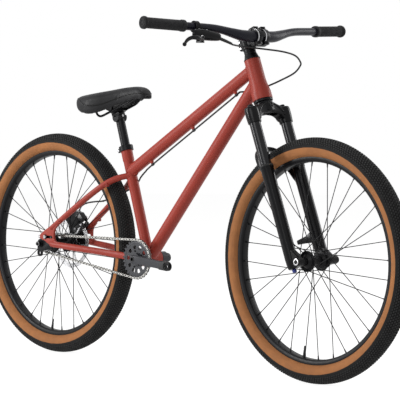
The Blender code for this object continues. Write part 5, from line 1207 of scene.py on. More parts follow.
class BIKE_OT_cranks(bpy.types.Operator):
    """Make the crank arms, the spindle and the cap on its left end"""
    bl_idname = "bike.cranks"
    bl_label = "Cranks"

    def execute(self, context):
        for side, sign in SIDES:
            root = -0.0095 if sign < 0 else -0.015
            stations = [(root, 0.0086), (root + 0.0014, 0.0108), (root + 0.0038, 0.0121), (0.005, 0.0124),
                (0.02, 0.0124), (0.045, 0.0121), (0.07, 0.0119), (0.11, 0.0117), (0.15, 0.0118), (0.164, 0.0122)]
            rings = []
            for x, half in stations:
                share = min(max((x - 0.015) / 0.135, 0.0), 1.0)
                low, high = 0.055 + 0.0208 * share, 0.069 + 0.018 * share
                rings.append([(x, sign * ((low + high) / 2 + across), up) for across,
                    up in rounded_box((high - low) / 2, half, 0.0036, 5)])
            arm = loft("Arm", rings)
            if sign > 0:
                cut(arm, along(0.0, 0.0, 0.03, 0.0663, 0.0123, "Hole", 48))
            cut(arm, along(0.165, 0.0, *sorted((sign * 0.06, sign * 0.1)), 0.0105, "Hole", 40))
            give_finish(arm, "crank_alloy")
            eye = give_finish(turned("Eye", mm((7, 75.8), (12.2, 75.8), (13.2, 76.8), (13.2, 86.2), (12.6, 87.1),
                (10.4, 87.2), (10.4, 87.4), (10, 88), (7.6, 88), (7, 87.5)), Matrix.Translation((0.165, 0.0, 0.0))
                @ Matrix.Rotation(math.radians(-90.0 * sign), 4, "X"), 48), "black_alloy")
            boot = loft("Boot", [[(x, sign * (0.0814 + across * 1.0), up) for across,
                up in rounded_box(0.0062 + grow, 0.0118 + grow, 0.0034, 5)] for x,
                grow in mm((134, 0.2), (134.8, 1.1), (150, 1.2), (164, 1.4))])
            cut(boot, along(0.165, 0.0, *sorted((sign * 0.06, sign * 0.1)), 0.0118, "Hole", 40))
            give_finish(boot, "black_plastic")
            turn = Matrix.Rotation(math.radians(-90.0 * sign), 4, "X")
            if sign < 0:
                hub = turned("Hub", mm((0, -66), (11.2, -66), (12, -65.2), (12, 40.5), (18.2, 40.5), (19, 41.3),
                    (19, 60), (0, 60)), turn, 56)
                cap = turned("Cap", mm((0, 68), (8.5, 68), (8.5, 69.5), (7.8, 70.2), (5, 70.2), (4.6, 69), (0, 69)),
                    turn, 40)
            else:
                hub = turned("Hub", mm((12.3, 40.5), (18.2, 40.5), (19, 41.3), (19, 60), (12.3, 60)), turn, 56)
                cap = turned("Cap", mm((0, 66.4), (13.6, 66.4), (13.6, 74.8), (12.8, 76.6), (10.6, 77),
                    (10.4, 76.4), (8.6, 76.4), (8.4, 77), (6, 77), (5.6, 75.2), (0, 75.2)), turn, 48)
            give_finish(hub, "crank_alloy")
            give_finish(cap, "black_plastic")
            pieces = [arm, eye, boot, hub, cap]
            if sign > 0:
                for x in (0.0165, 0.0285):
                    pinch = give_finish(bolt("Pinch", (x - 0.002, 0.0615, -0.0122), (0.0, 0.0, -1.0), 0.003),
                        "black_alloy")
                    pieces.append(pinch)
            place = Matrix.Translation(CRANK) @ Matrix.Rotation(math.radians(4.0 if sign < 0 else 184.0), 4, "Y")
            assemble(side.title() + "_crank", pieces, "crankset", "crank_alloy", place)
        return {"FINISHED"}


class BIKE_OT_sprocket(bpy.types.Operator):
    """Make the rear sprocket and its driver"""
    bl_idname = "bike.sprocket"
    bl_label = "Rear sprocket"

    def execute(self, context):
        cog = plate("Rear_sprocket", toothed_outline(COG_TEETH, COG_PITCH), CHAIN_Y - 0.001, CHAIN_Y + 0.001)
        cut(cog, along(0.0, 0.0, -0.06, -0.04, 0.0165, "Hole", 48))
        bevelled(cog, 0.0003, 1)
        give_finish(cog, "silver_steel")
        driver = turned("Driver", mm((10.3, -54), (15, -54), (16.4, -53.4), (17, -52.8), (17, -30), (16.4, -29.5),
            (10.3, -29.5)), ALONG_AXLE, 56)
        bpy.ops.mesh.primitive_cylinder_add(vertices=10, radius=0.0012, depth=0.004, location=(0.014, -0.0545, 0.0),
            rotation=(math.radians(90.0), 0.0, 0.0))
        notch = settle(made(), "Notch")
        cut(driver, repeated(notch, 12))
        give_finish(driver, "silver_steel")
        assemble("Rear_sprocket", [cog, driver], "sprocket", "silver_steel", Matrix.Translation(REAR_HUB))
        return {"FINISHED"}


def chain_path():
    """The chain's centre line, as close points round both toothed wheels."""
    line = REAR_HUB - CRANK
    heading = math.atan2(line.z, line.x)
    lean = math.acos((RING_PITCH - COG_PITCH) / line.length)
    points = []
    for k in range(121):
        turn = heading + lean + (math.tau - 2 * lean) * k / 120
        points.append(CRANK + Vector((math.cos(turn), 0.0, math.sin(turn))) * RING_PITCH)
    for k in range(61):
        turn = heading - lean + 2 * lean * k / 60
        points.append(REAR_HUB + Vector((math.cos(turn), 0.0, math.sin(turn))) * COG_PITCH)
    return points + [points[0]]


def evenly_along(points, count):
    """Points at even steps along a closed line."""
    lengths = [(b - a).length for a, b in zip(points, points[1:])]
    step = sum(lengths) / count
    pins = []
    walked = 0.0
    index = 0
    for k in range(count):
        while walked + lengths[index] < k * step:
            walked += lengths[index]
            index += 1
        pins.append(points[index].lerp(points[index + 1], (k * step - walked) / lengths[index]))
    return pins


def chain_plate(name, low, high, waist):
    half = CHAIN_PITCH / 2
    outline = []
    for sign in (1.0, -1.0):
        for k in range(7):
            turn = math.radians(-66.0 + 132.0 * k / 6) + (0.0 if sign > 0 else math.pi)
            outline.append((sign * half + 0.0039 * math.cos(turn), 0.0039 * math.sin(turn)))
        outline.append((0.0, sign * waist))
    return plate(name, outline, low, high)


class BIKE_OT_chain(bpy.types.Operator):
    """Make the chain, link by link, round the chainring and the sprocket"""
    bl_idname = "bike.chain"
    bl_label = "Chain"

    def execute(self, context):
        half = CHAIN_PITCH / 2
        outer = [chain_plate("Plate", sign * 0.0027 - 0.0004, sign * 0.0027 + 0.0004, 0.0021) for sign in (-1.0,
            1.0)]
        pair = [along(x, 0.0, -0.0034, 0.0034, 0.0024, "Pin", 10) for x in (-half, half)]
        for piece in outer + pair:
            give_finish(piece, "dark_steel" if piece in pair else "chain_steel")
        outer_link = joined("Outer_link", outer + pair)
        inner = [chain_plate("Plate", sign * 0.0019 - 0.0003, sign * 0.0019 + 0.0003, 0.0023) for sign in (-1.0,
            1.0)]
        pair = [along(x, 0.0, -0.0016, 0.0016, 0.0037, "Roller", 12) for x in (-half, half)]
        for piece in inner + pair:
            give_finish(piece, "dark_steel" if piece in pair else "chain_steel")
        inner_link = joined("Inner_link", inner + pair)
        pins = evenly_along(chain_path(), CHAIN_LINKS)
        links = []
        for k, pin in enumerate(pins):
            ahead = pins[(k + 1) % len(pins)]
            line = ahead - pin
            place = (Matrix.Translation((pin + ahead) / 2 + Vector((0.0, CHAIN_Y, 0.0)))
                @ Matrix.Rotation(-math.atan2(line.z, line.x), 4, "Y"))
            links.append(copied(outer_link if k % 2 else inner_link, "Link", place))
        bpy.data.objects.remove(outer_link)
        bpy.data.objects.remove(inner_link)
        assemble("Chain", links, "frame", "silver_steel")
        return {"FINISHED"}


# Fork, in the steering frame

def leg_place(sign):
    """The place of one fork leg in the steering frame."""
    return Matrix.Translation((LEG_X, sign * LEG_Y, 0.0))


def socket_height(values, y):
    """Straight line through a table of (y, z)."""
    y = abs(y)
    for (y0, z0), (y1, z1) in zip(values, values[1:]):
        if y0 <= y <= y1:
            return z0 + (z1 - z0) * (y - y0) / (y1 - y0)
    return values[-1][1]


CROWN_TOP_LINE = mm((0, -1.5), (20, -3), (27, -6), (44, -13.5), (62, -22.5))
CROWN_UNDER_LINE = mm((0, -33.5), (27, -37), (40, -45), (46.5, -56), (62, -56))


class BIKE_OT_fork_crown(bpy.types.Operator):
    """Make the fork crown with its steerer, and the stanchions"""
    bl_idname = "bike.fork_crown"
    bl_label = "Fork crown and stanchions"

    def execute(self, context):
        steerer = turned("Steerer", mm((0, -30), (24, -30), (25.5, -28.5), (25.5, -5), (24.8, -1.5), (24, 0),
            (19.5, 0), (19.5, 30), (14.3, 62), (14.3, 198), (0, 198)), WORLD, 56)
        rings = []
        for k in range(25):
            y = -0.06 + 0.12 * k / 24
            top = socket_height(CROWN_TOP_LINE, y)
            under = socket_height(CROWN_UNDER_LINE, y)
            narrow = 1.0 - 0.12 * math.sin(math.pi * min(abs(y) / 0.06, 1.0))
            rings.append([(0.0045 + across * narrow, y, (top + under) / 2 + up) for across, up in rounded_box(0.017,
                (top - under) / 2, 0.0062, 5)])
        bridge = loft("Bridge", rings)
        for _, sign in SIDES:
            cut(bridge, rod("Hole", (LEG_X, sign * LEG_Y, -0.09), (LEG_X, sign * LEG_Y, 0.01), 0.0185, 56))
        scoop = loft("Scoop", [[(0.0045 + across, y, -0.042 + up) for across, up in rounded_box(0.0105, 0.0125,
            0.006, 4)] for y in (-0.03, 0.03)])
        cut(bridge, scoop)
        pieces = [steerer, bridge]
        for _, sign in SIDES:
            pieces.append(turned("Socket", mm((16.3, -63), (18.4, -63), (19.1, -62.2), (19.7, -52), (20.3, -40),
                (20.2, -30), (19.9, -23.5), (19.3, -20), (18.3, -18), (17.4, -17.5), (16.3, -17.5)),
                leg_place(sign), 56))
        skin = joined("Fork_crown", pieces)
        ridges = []
        for sign in (-1.0, 1.0):
            for line in (mm((22.6, 9.5, -6), (20.5, 16.6, -9.5), (19.6, 25.5, -13), (19, 34.5, -18.5),
                    (19.2, 43, -27), (20, 50, -38), (21.2, 53.5, -47)), mm((24, 6, -4.5), (24.6, 4.5, -13),
                    (24.6, 3, -21.5))):
                snug = []
                for x, y, z in smooth_path([(x, sign * y, z) for x, y, z in line], 5):
                    _, spot, normal, _ = skin.closest_point_on_mesh(Vector((x, y, z)))
                    snug.append(spot - normal * 0.0012)
                sizes = at_shares([0.0012, 0.0028, 0.0032, 0.0034, 0.0034, 0.003, 0.0014], len(snug))
                ridges.append(pipe("Ridge", snug, sizes, 16))
        crown = settle(joined("Fork_crown", [skin] + ridges), "Fork_crown", STEERING)
        finish_piece(crown, "steering", "fork_paint", "fork_crown")
        for side, sign in SIDES:
            tube = give_finish(turned("Tube", mm((0, -340), (15, -340), (16, -339), (16, -17.4), (8.5, -17.2),
                (0, -17.2)), leg_place(sign), 56), "stanchion_alloy")
            cap = give_finish(turned("Cap", mm((0, -17.3), (8.6, -17.3), (8.5, -11.2), (7.6, -9.6), (7, -9),
                (4.6, -9), (4.2, -10.4), (0, -10.4)), leg_place(sign), 40), "black_alloy")
            assemble(side.title() + "_stanchion", [tube, cap], "steering", "stanchion_alloy", STEERING)
        return {"FINISHED"}


class BIKE_OT_fork_lowers(bpy.types.Operator):
    """Make the fork lowers: legs, rear arch, axle eyes, brake post and seals"""
    bl_idname = "bike.fork_lowers"
    bl_label = "Fork lowers"

    def execute(self, context):
        pieces = []
        seals = []
        for _, sign in SIDES:
            place = leg_place(sign)
            pieces.append(turned("Leg", mm((0, -487), (11.8, -487), (14, -486), (16, -482.5), (16.8, -478),
                (17.7, -460), (17.7, -242), (18.2, -238), (18.2, -198), (18.8, -195), (19.4, -193.7),
                (19.4, -192.2), (18.8, -191.5), (16.3, -191.5), (16.3, -446), (0, -446)), place, 56))
            seals.append(turned("Seal", mm((16.2, -191.6), (19, -191.6), (19, -189), (18.4, -188.4), (18.4, -187.6),
                (18, -187), (17.2, -186.2), (16.2, -186)), place, 56))
            inner, outer = 0.05, 0.0792
            turn = Matrix.Rotation(math.radians(-90.0 * sign), 4, "X")
            pieces.append(turned("Eye", [(0.0079, inner), (0.0117, inner), (0.0125, inner + 0.0008),
                (0.0125, outer - 0.0008), (0.0117, outer), (0.0079, outer)],
                Matrix.Translation((0.034, 0.0, -0.475)) @ turn, 48))
            web = []
            for y, shrink in ((inner + 0.0015, 0.86), (inner + 0.006, 1.0), (outer - 0.011, 1.0),
                    (outer - 0.005, 0.86)):
                middle = (0.019, -0.468)
                web.append([(middle[0] + (x - middle[0]) * shrink, sign * y, middle[1] + (z - middle[1]) * shrink)
                    for x, z in mm((0, -408), (8, -418), (20, -433), (32, -450), (42.5, -466.5), (45, -474),
                    (43, -481), (36, -486.6), (27, -486.8), (15, -485.8), (2, -484.5), (0, -460))])
            piece = loft("Web", web)
            cut(piece, along(0.034, -0.475, *sorted((sign * 0.03, sign * 0.1)), 0.01, "Hole", 40),
                rod("Hole", (LEG_X, sign * LEG_Y, -0.446), (LEG_X, sign * LEG_Y, -0.3), 0.0163, 40))
            pieces.append(piece)
        left = mm((-6, 56, -215), (-18, 53.5, -192), (-27, 50.5, -168), (-32.5, 43.5, -145), (-35.5, 28, -130))
        line = smooth_path(left + [(-0.0365, 0.0, -0.1255)] + [(x, -y, z) for x, y, z in reversed(left)], 6)
        rings = []
        for i, point in enumerate(line):
            ahead = direction_at(line, i)
            rise = ahead.cross(Vector(AHEAD)).normalized()
            rings.append([point + Vector((across, 0.0, 0.0)) + rise * up for across, up in rounded_box(0.0085,
                0.0062, 0.0036, 4)])
        pieces.append(loft("Arch", rings))
        for _, sign in SIDES:
            rib = mm((-2, 56, -238), (-8, 55, -218), (-15, 53, -198))
            path = smooth_path([(x, sign * y, z) for x, y, z in rib], 5)
            pieces.append(pipe("Rib", path, at_shares([0.005, 0.0078, 0.008], len(path)), 20))
        post = plate("Post", mm((-56, -389), (-57.2, -390.5), (-57.2, -399.5), (-56, -401), (-30, -405.8),
            (-2, -413), (-2, -382), (-20, -387.6)), 0.046, 0.057)
        cut(post, rod("Hole", (-0.049, 0.0515, -0.36), (-0.049, 0.0515, -0.43), 0.0026, 20),
            rod("Hole", (LEG_X, LEG_Y, -0.446), (LEG_X, LEG_Y, -0.3), 0.0163, 40))
        pieces.append(bevelled(post, 0.0012, 3))
        body = give_finish(joined("Fork_lowers", pieces), "fork_paint")
        rubber = give_finish(joined("Seals", seals), "tread_rubber")
        assemble("Fork_lowers", [body, rubber], "lowers", "fork_paint", STEERING)
        return {"FINISHED"}


class BIKE_OT_rebound_knob(bpy.types.Operator):
    """Make the ridged rebound knob under the right leg"""
    bl_idname = "bike.rebound_knob"
    bl_label = "Rebound knob"

    def execute(self, context):
        place = STEERING @ Matrix.Translation((LEG_X, -LEG_Y, 0.0))
        knob = turned("Rebound_knob", mm((0, -487.3), (4.6, -487.3), (5.6, -488), (6.2, -489), (6.2, -494.5),
            (5.7, -496.2), (4.8, -496.8), (3, -496.8), (2.6, -496), (0, -496)), WORLD, 48)
        groove = rod("Groove", (0.0068, 0.0, -0.498), (0.0068, 0.0, -0.489), 0.001, 10)
        cut(knob, repeated(groove, 12, axis=UP))
        settle(knob, "Rebound_knob", place)
        finish_piece(knob, "knob", "knob_blue", "rebound_knob")
        return {"FINISHED"}


# Stem and handlebar

class BIKE_OT_stem(bpy.types.Operator):
    """Make the stem, its top cap, its faceplate and their bolts"""
    bl_idname = "bike.stem"
    bl_label = "Stem"

    def execute(self, context):
        middle = 0.1795
        clamp = turned("Clamp", mm((14.6, 159.5), (19, 159.5), (20, 160.5), (20, 198.5), (19, 199.5),
            (14.6, 199.5)), WORLD, 56)
        neck = loft("Neck", [[(x, across, middle + up) for across, up in rounded_box(wide, high, 0.0045, 5)] for x,
            wide, high in mm((6, 16.8, 16.5), (14, 15, 15.8), (21, 15, 16.2), (28, 18.5, 19), (33, 21.5, 22.5),
            (37.5, 22.8, 24))])
        cut(neck, rod("Hole", (0.0, 0.0, 0.14), (0.0, 0.0, 0.22), 0.016, 48))
        jaw = plate("Jaw", [(0.03, middle + 0.016), (0.033, middle + 0.023), (0.0385, middle + 0.0265),
            (0.0472, middle + 0.0265), (0.0472, middle - 0.0265), (0.0365, middle - 0.0265),
            (0.032, middle - 0.0225), (0.03, middle - 0.016)], -0.0235, 0.0235)
        bevelled(jaw, 0.0016, 3)
        cut(jaw, along(0.048, middle, -0.05, 0.05, 0.0161, "Hole", 64))
        ears = []
        for low, high in ((-0.01, -0.0009), (0.0009, 0.01)):
            ear = plate("Ear", mm((-15, 162.5), (-15, 195.5), (-22.5, 195.5), (-26.2, 193), (-27, 189), (-27, 169),
                (-26.2, 165), (-22.5, 162.5)), low, high)
            ears.append(bevelled(ear, 0.0008, 2))
        split = plate("Split", mm((-40, 150), (-12, 150), (-12, 210), (-40, 210)), -0.0009, 0.0009)
        cut(clamp, split)
        body = give_finish(joined("Stem", [clamp, neck, jaw] + ears), "black_alloy")
        cap = give_finish(turned("Cap", mm((0, 198.6), (16.5, 198.6), (16.5, 201.8), (16, 203.2), (14.8, 204),
            (6.2, 204), (5.2, 202.6), (0, 202.6)), WORLD, 56), "black_alloy")
        bolts = [bolt("Bolt", (0.0, 0.0, 0.2022), UP, 0.004)]
        for z in (0.1705, 0.1885):
            bolts.append(bolt("Bolt", (-0.0215, -0.0096, z), (0.0, -1.0, 0.0), 0.0034))
            bolts.append(rod("Shank", (-0.0215, -0.0095, z), (-0.0215, 0.0095, z), 0.0024, 16))
        for piece in bolts:
            give_finish(piece, "silver_steel")
        assemble("Stem", [body, cap] + bolts, "steering", "black_alloy", STEERING)

        x = 0.048
        arc = [(x + 0.0215 * math.cos(math.radians(62 - 124 * k / 24)),
            middle + 0.0215 * math.sin(math.radians(62 - 124 * k / 24))) for k in range(25)]
        outline = [(x + 0.0008, middle + 0.0265), (x + 0.0105, middle + 0.0265)] + arc + [(x + 0.0105,
            middle - 0.0265), (x + 0.0008, middle - 0.0265)]
        face = plate("Face", outline, -0.0235, 0.0235)
        for low, high in ((middle + 0.0085, middle + 0.05), (middle - 0.05, middle - 0.0085)):
            cut(face, plate("Window", [(x - 0.01, low), (x + 0.04, low), (x + 0.04, high), (x - 0.01, high)],
                -0.0055, 0.0055))
        bevelled(face, 0.0008, 2)
        cut(face, along(x, middle, -0.05, 0.05, 0.0161, "Hole", 64))
        give_finish(face, "black_alloy")
        # Painted highlights: silver crescents on the faceplate's front edges, on one side only, where the light
        # glints.
        painted_highlight_bands = []
        for low, high in ((-0.0233, -0.0204), (0.0068, 0.0094)):
            outside = [(x + (px - x) * 1.006, middle + (pz - middle) * 1.006) for px, pz in arc]
            inside = [(x + (px - x) * 0.9, middle + (pz - middle) * 0.9) for px, pz in reversed(arc)]
            band = give_finish(plate("Band", outside + inside, low, high), "edge_silver")
            painted_highlight_bands.append(band)
        bolts = []
        for sy in (-1.0, 1.0):
            for sz in (-1.0, 1.0):
                head = give_finish(bolt("Bolt", (x + 0.0094, sy * 0.0148, middle + sz * 0.0226), AHEAD, 0.0033),
                    "black_alloy")
                bolts.append(head)
        assemble("Stem_faceplate", [face] + painted_highlight_bands + bolts, "steering", "black_alloy", STEERING)
        return {"FINISHED"}


BAR_BENDS = mm((0, 0, 0), (0, 32, 0), (-3.5, 65, 1.5), (-8.5, 100, 8), (-13, 135, 14.8), (-18.2, 172, 18.8),
    (-28, 240, 21.5), (-50, 393, 27.5))


def bar_at(y):
    """A point on the middle of the bar, at a distance from its centre."""
    for a, b in zip(BAR_BENDS, BAR_BENDS[1:]):
        if a[1] <= abs(y) <= b[1] or b is BAR_BENDS[-1]:
            share = (abs(y) - a[1]) / (b[1] - a[1])
            point = Vector(a).lerp(Vector(b), share)
            return BAR_CENTRE + Vector((point.x, math.copysign(point.y, y), point.z))


def bar_radius(y):
    share = min(max((abs(y) - 0.05) / 0.09, 0.0), 1.0)
    share = share * share * (3.0 - 2.0 * share)
    return 0.0159 + (0.0111 - 0.0159) * share


class BIKE_OT_handlebar(bpy.types.Operator):
    """Make the swept and raised handlebar, with its bulge at the stem"""
    bl_idname = "bike.handlebar"
    bl_label = "Handlebar"

    def execute(self, context):
        half = [BAR_CENTRE + Vector(point) for point in BAR_BENDS]
        other = [Vector((p.x, -p.y, p.z)) for p in reversed(half[1:])]
        path = smooth_path(other + half, 8)
        bar = pipe("Handlebar", path, [bar_radius(p.y) for p in path], 40)
        finish_piece(bar, "steering", "bar_alloy", "handlebar")
        return {"FINISHED"}


class BIKE_OT_grips(bpy.types.Operator):
    """Make the ribbed grips with their flanges"""
    bl_idname = "bike.grips"
    bl_label = "Grips"

    def execute(self, context):
        for side, sign in SIDES:
            start, end = bar_at(sign * 0.2605), bar_at(sign * 0.3975)
            length = (end - start).length
            profile = mm((0, 0), (15.7, 0), (16.3, 0.8), (16.6, 2.4), (16.6, 10.6), (16, 11.8), (14.6, 12.6))
            ribs = size_of("grip_ribs")
            first, last = 0.014, length - 0.0112
            for k in range(ribs):
                low = first + (last - first) * k / ribs
                pitch = (last - first) / ribs
                profile += [(0.0144, low), (0.0151, low + pitch * 0.18), (0.0152, low + pitch * 0.36),
                    (0.0151, low + pitch * 0.54), (0.0144, low + pitch * 0.72)]
            profile += [(0.0146, length - 0.0108), (0.0172, length - 0.0094), (0.0178, length - 0.0082),
                (0.0178, length - 0.0036), (0.017, length - 0.001), (0.0155, length), (0.0138, length),
                (0.0134, length - 0.001), (0.012, length - 0.001), (0.0116, length), (0.007, length),
                (0.0066, length - 0.0008), (0.0054, length - 0.0008), (0.005, length), (0.0, length)]
            grip = turned(side.title() + "_grip", profile, facing(start, end), 48)
            finish_piece(grip, "steering", "grip_rubber", side + "_grip", angle=50.0)
        return {"FINISHED"}


# Brake controls and hoses

LEVER_PIN = Vector((0.330018, -0.234, 0.939046))


def from_pin(points):
    return [LEVER_PIN + Vector(point) for point in points]


class BIKE_OT_brake_controls(bpy.types.Operator):
    """Make the master cylinder with its clamp, and the brake lever"""
    bl_idname = "bike.brake_controls"
    bl_label = "Brake controls"

    def execute(self, context):
        centre = bar_at(-0.224)
        line = (bar_at(-0.3) - centre).normalized()
        clamp = turned("Clamp", mm((11.4, -7), (15.7, -7), (16.5, -6.2), (16.5, 6.2), (15.7, 7), (11.4, 7)),
            facing(centre, centre + line), 48)
        ear = loft("Ear", [[Vector((centre.x - 0.0145 - k * 0.0075, centre.y + across * 0.9, centre.z + 0.003 + up))
            for across, up in rounded_box(0.0066 - 0.0006 * k, 0.0062 - 0.0008 * k, 0.0022, 4)] for k in (0, 1)])
        neck = swept("Neck", [centre + Vector((0.006, 0.004, -0.006))] + from_pin([(-0.018, 0.006, 0.014),
            (-0.012, 0.008, 0.007)]), [(0.0075, 0.0085), (0.008, 0.009), (0.008, 0.009)])
        tank_path = smooth_path(from_pin(mm((-20.5, -14, 15), (-19, -10, 14.5), (-16.5, 14, 14), (-11.5, 49, 11),
            (-8.5, 72, 8.5), (-8, 75.5, 8))), 6)
        wide = [0.0052, 0.0105, 0.0115, 0.0105, 0.0088, 0.0046]
        high = [0.0092, 0.0148, 0.0158, 0.0134, 0.01, 0.0056]
        tank = swept("Tank", tank_path, list(zip(at_shares(wide, len(tank_path)), at_shares(high, len(tank_path)))),
            28)
        boot_line = smooth_path(from_pin(mm((-8.5, 72, 6), (-5, 94, -1), (-2.3, 116.5, -8.6))), 9)
        ripple = [r + (0.00035 if k % 2 else -0.00015) for k, r in enumerate(at_shares([0.0048, 0.0042, 0.0033],
            len(boot_line)))]
        boot = pipe("Boot", boot_line, ripple, 20)
        pieces = [clamp, ear, neck, tank]
        for low, high_z in ((0.0044, 0.009), (-0.009, -0.0044)):
            eye = turned("Eye", [(0.0, low), (0.0058, low), (0.0065, low + 0.0006), (0.0065, high_z - 0.0006),
                (0.0058, high_z), (0.0, high_z)], Matrix.Translation(LEVER_PIN), 32)
            arm = loft("Arm", [[LEVER_PIN + Vector((x, across * wide_share, (low + high_z) / 2 + up)) for across,
                up in rounded_box(0.0055, 0.0021, 0.0009, 3)] for x, wide_share in ((-0.016, 1.0), (-0.008, 1.0),
                (0.0, 0.96))])
            pieces += [eye, arm]
        pieces.append(loft("Back", [[LEVER_PIN + Vector((-0.0158 + across * 0.5, up, z)) for across,
            up in rounded_box(0.0054, 0.0055, 0.0014, 3)] for z in (-0.0086, 0.0, 0.014)]))
        body = give_finish(joined("Brake_master_cylinder", pieces), "fork_paint")
        give_finish(boot, "black_plastic")
        lid = give_finish(swept("Lid", [p + Vector((-0.0004, 0.0, 0.0125)) for p in from_pin(mm((-17.8, 1, 14),
            (-16.3, 14, 14), (-13.5, 36, 12.2)))], [(0.0078, 0.0022), (0.0092, 0.003), (0.0074, 0.0022)], 24),
            "black_plastic")
        screws = []
        for point in ((-0.0172, 0.005, 0.0288), (-0.0142, 0.032, 0.0266)):
            screws.append(bolt("Screw", LEVER_PIN + Vector(point), (0.0, 0.05, 1.0), 0.0019))
        screws.append(bolt("Pin", LEVER_PIN + Vector((0.0, 0.0, 0.0088)), UP, 0.003))
        screws.append(bolt("Clamp_bolt", centre + Vector((-0.018, 0.0, 0.009)), UP, 0.0028))
        for screw in screws:
            give_finish(screw, "silver_steel")
        master = joined("Brake_master_cylinder", [body, boot, lid] + screws)
        finish_piece(master, "steering", None, "brake_master_cylinder", slot="fork_paint")

        path = smooth_path(from_pin(mm((1, -1, 0), (12, -12, 0), (20, -28, 3.5), (21.5, -46, 4), (20, -62, 2),
            (20, -76, -5), (22, -87, -15.5))), 7)
        wide = [0.004, 0.0036, 0.0032, 0.003, 0.003, 0.0034, 0.0038]
        high = [0.0036, 0.004, 0.0052, 0.0056, 0.0055, 0.0052, 0.004]
        blade = swept("Blade", path, list(zip(at_shares(wide, len(path)), at_shares(high, len(path)))), 24)
        eye = turned("Eye", mm((0, -4), (5.6, -4), (6.2, -3.4), (6.2, 3.4), (5.6, 4), (0, 4)),
            Matrix.Translation(LEVER_PIN), 32)
        bpy.ops.mesh.primitive_uv_sphere_add(segments=20, ring_count=12, radius=0.0058, location=path[-1])
        tip = settle(made(), "Tip")
        lever = joined("Brake_lever", [blade, eye, tip])
        finish_piece(lever, "lever", "black_alloy", "brake_lever")
        return {"FINISHED"}


FRONT_HOSE = mm((328.2, -116, 928.5), (324, -95, 926.5), (321.5, -70, 924.5), (327, -45, 922.5), (344, -5, 918.5),
    (376, 34, 912), (404.5, 55, 901), (418.5, 62, 883), (417.5, 61.5, 871.5), (400, 56, 852), (360, 45, 832.5),
    (326, 37, 819), (295, 31, 808.5), (262, 15, 801.5))
HOSE_GUIDES = mm((230.76, 0, 791.3), (58.73, 0, 690.17), (-114.32, 0, 588.44))
REAR_HOSE = mm((-147, 0, 566), (-170, 4, 550), (-188, 14, 540), (-203, 22.5, 533), (-222, 33, 525.5),
    (-250, 44, 515), (-300, 48, 497), (-345, 48.5, 482), (-390, 50, 470.5), (-430, 51, 467), (-470, 52, 461),
    (-495, 52, 450), (-504, 52, 438.5))


class BIKE_OT_hoses(bpy.types.Operator):
    """Make the brake hose: its loop at the front, its run along the frame, and its clips"""
    bl_idname = "bike.hoses"
    bl_label = "Brake hoses"

    def execute(self, context):
        radius = size_of("hose_radius")
        first = Vector(HOSE_GUIDES[0])
        ahead = (first - Vector(HOSE_GUIDES[1])).normalized()
        path = smooth_path(FRONT_HOSE + [first + ahead * 0.016, first + ahead * 0.0063], 7)
        front = pipe("Front_hose", path, radius, 18)
        finish_piece_blend(front, "hose_plastic", "front_hose")
        path = smooth_path([first + ahead * 0.006] + HOSE_GUIDES + REAR_HOSE, 7)
        rear = give_finish(pipe("Frame_hose", path, radius, 18), "hose_plastic")
        clips = []
        for guide in HOSE_GUIDES:
            guide = Vector(guide)
            clips.append(turned("Clip", mm((2.6, -4), (3.8, -4), (4.2, -3.4), (4.2, 3.4), (3.8, 4), (2.6, 4)),
                facing(guide, guide - ahead), 24))
        for k in (8, 10, 12):
            point = Vector(REAR_HOSE[k - 2])
            line = (Vector(REAR_HOSE[k - 1]) - Vector(REAR_HOSE[k - 3])).normalized()
            clips.append(turned("Tie", mm((2.6, -1.2), (3.1, -1.2), (3.1, 1.2), (2.6, 1.2)),
                facing(point, point + line), 24))
        for clip in clips:
            give_finish(clip, "black_plastic")
        end, before = Vector(REAR_HOSE[-1]), Vector(REAR_HOSE[-2])
        sleeve = give_finish(turned("Sleeve", mm((2.6, -12), (3.2, -12), (4, -2), (4, 0), (2.6, 0)),
            facing(end, end + (end - before)), 24), "silver_steel")
        piece = joined("Frame_hose", [rear] + clips + [sleeve])
        finish_piece(piece, "frame", None, "frame_hose", slot="hose_plastic")
        return {"FINISHED"}


def finish_piece_blend(obj, finish, node):
    """Finish the hose that runs between the frame and the bar, and leave it on no body."""
    smooth(obj)
    give_finish(obj, finish)
    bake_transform(obj)
    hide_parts(node)


class BIKE_OT_caliper(bpy.types.Operator):
    """Make the rear brake caliper, its pads and its bolts"""
    bl_idname = "bike.caliper"
    bl_label = "Brake caliper"

    def execute(self, context):
        body = give_finish(cad_copy("brake_caliper", "Brake_caliper", 0.0014, 3), "fork_paint")
        extras = []
        for x, z in ((-0.545, 0.41), (-0.48, 0.418)):
            extras.append(bolt("Bolt", (x, 0.059, z), ACROSS, 0.0042))
        extras.append(along(-0.513, 0.416, 0.0585, 0.0612, 0.0088, "Piston_cap", 32))
        extras.append(bolt("Banjo", (-0.504, 0.056, 0.433), (0.0, 0.6, 0.8), 0.004))
        clip = plate("Clip", mm((-514, 376.5), (-501, 376.5), (-490, 386), (-474, 386), (-467.2, 392),
            (-467.2, 400), (-478, 404), (-490, 399), (-504, 388), (-514, 385)), 0.0384, 0.0398)
        extras.append(bevelled(clip, 0.0003, 1))
        extras.append(bolt("Pin", (-0.506, 0.0386, 0.3808), (0.0, -1.0, 0.0), 0.0034))
        extras.append(bolt("Pin", (-0.478, 0.0386, 0.3945), (0.0, -1.0, 0.0), 0.0036))
        for piece in extras:
            give_finish(piece, "silver_steel")
        bevelled(extras[2], 0.0008, 2)
        give_finish(extras[2], "black_alloy")
        give_finish(extras[4], "black_alloy")
        piece = joined("Brake_caliper", [body] + extras)
        finish_piece(piece, "frame", None, "brake_caliper", slot="fork_paint")
        for name in ("inner", "outer"):
            pad = cad_copy(name + "_brake_pad", name.title() + "_brake_pad", 0.0004)
            finish_piece(pad, name + "_pad", "silver_steel", name + "_brake_pad")
        return {"FINISHED"}


# Seat

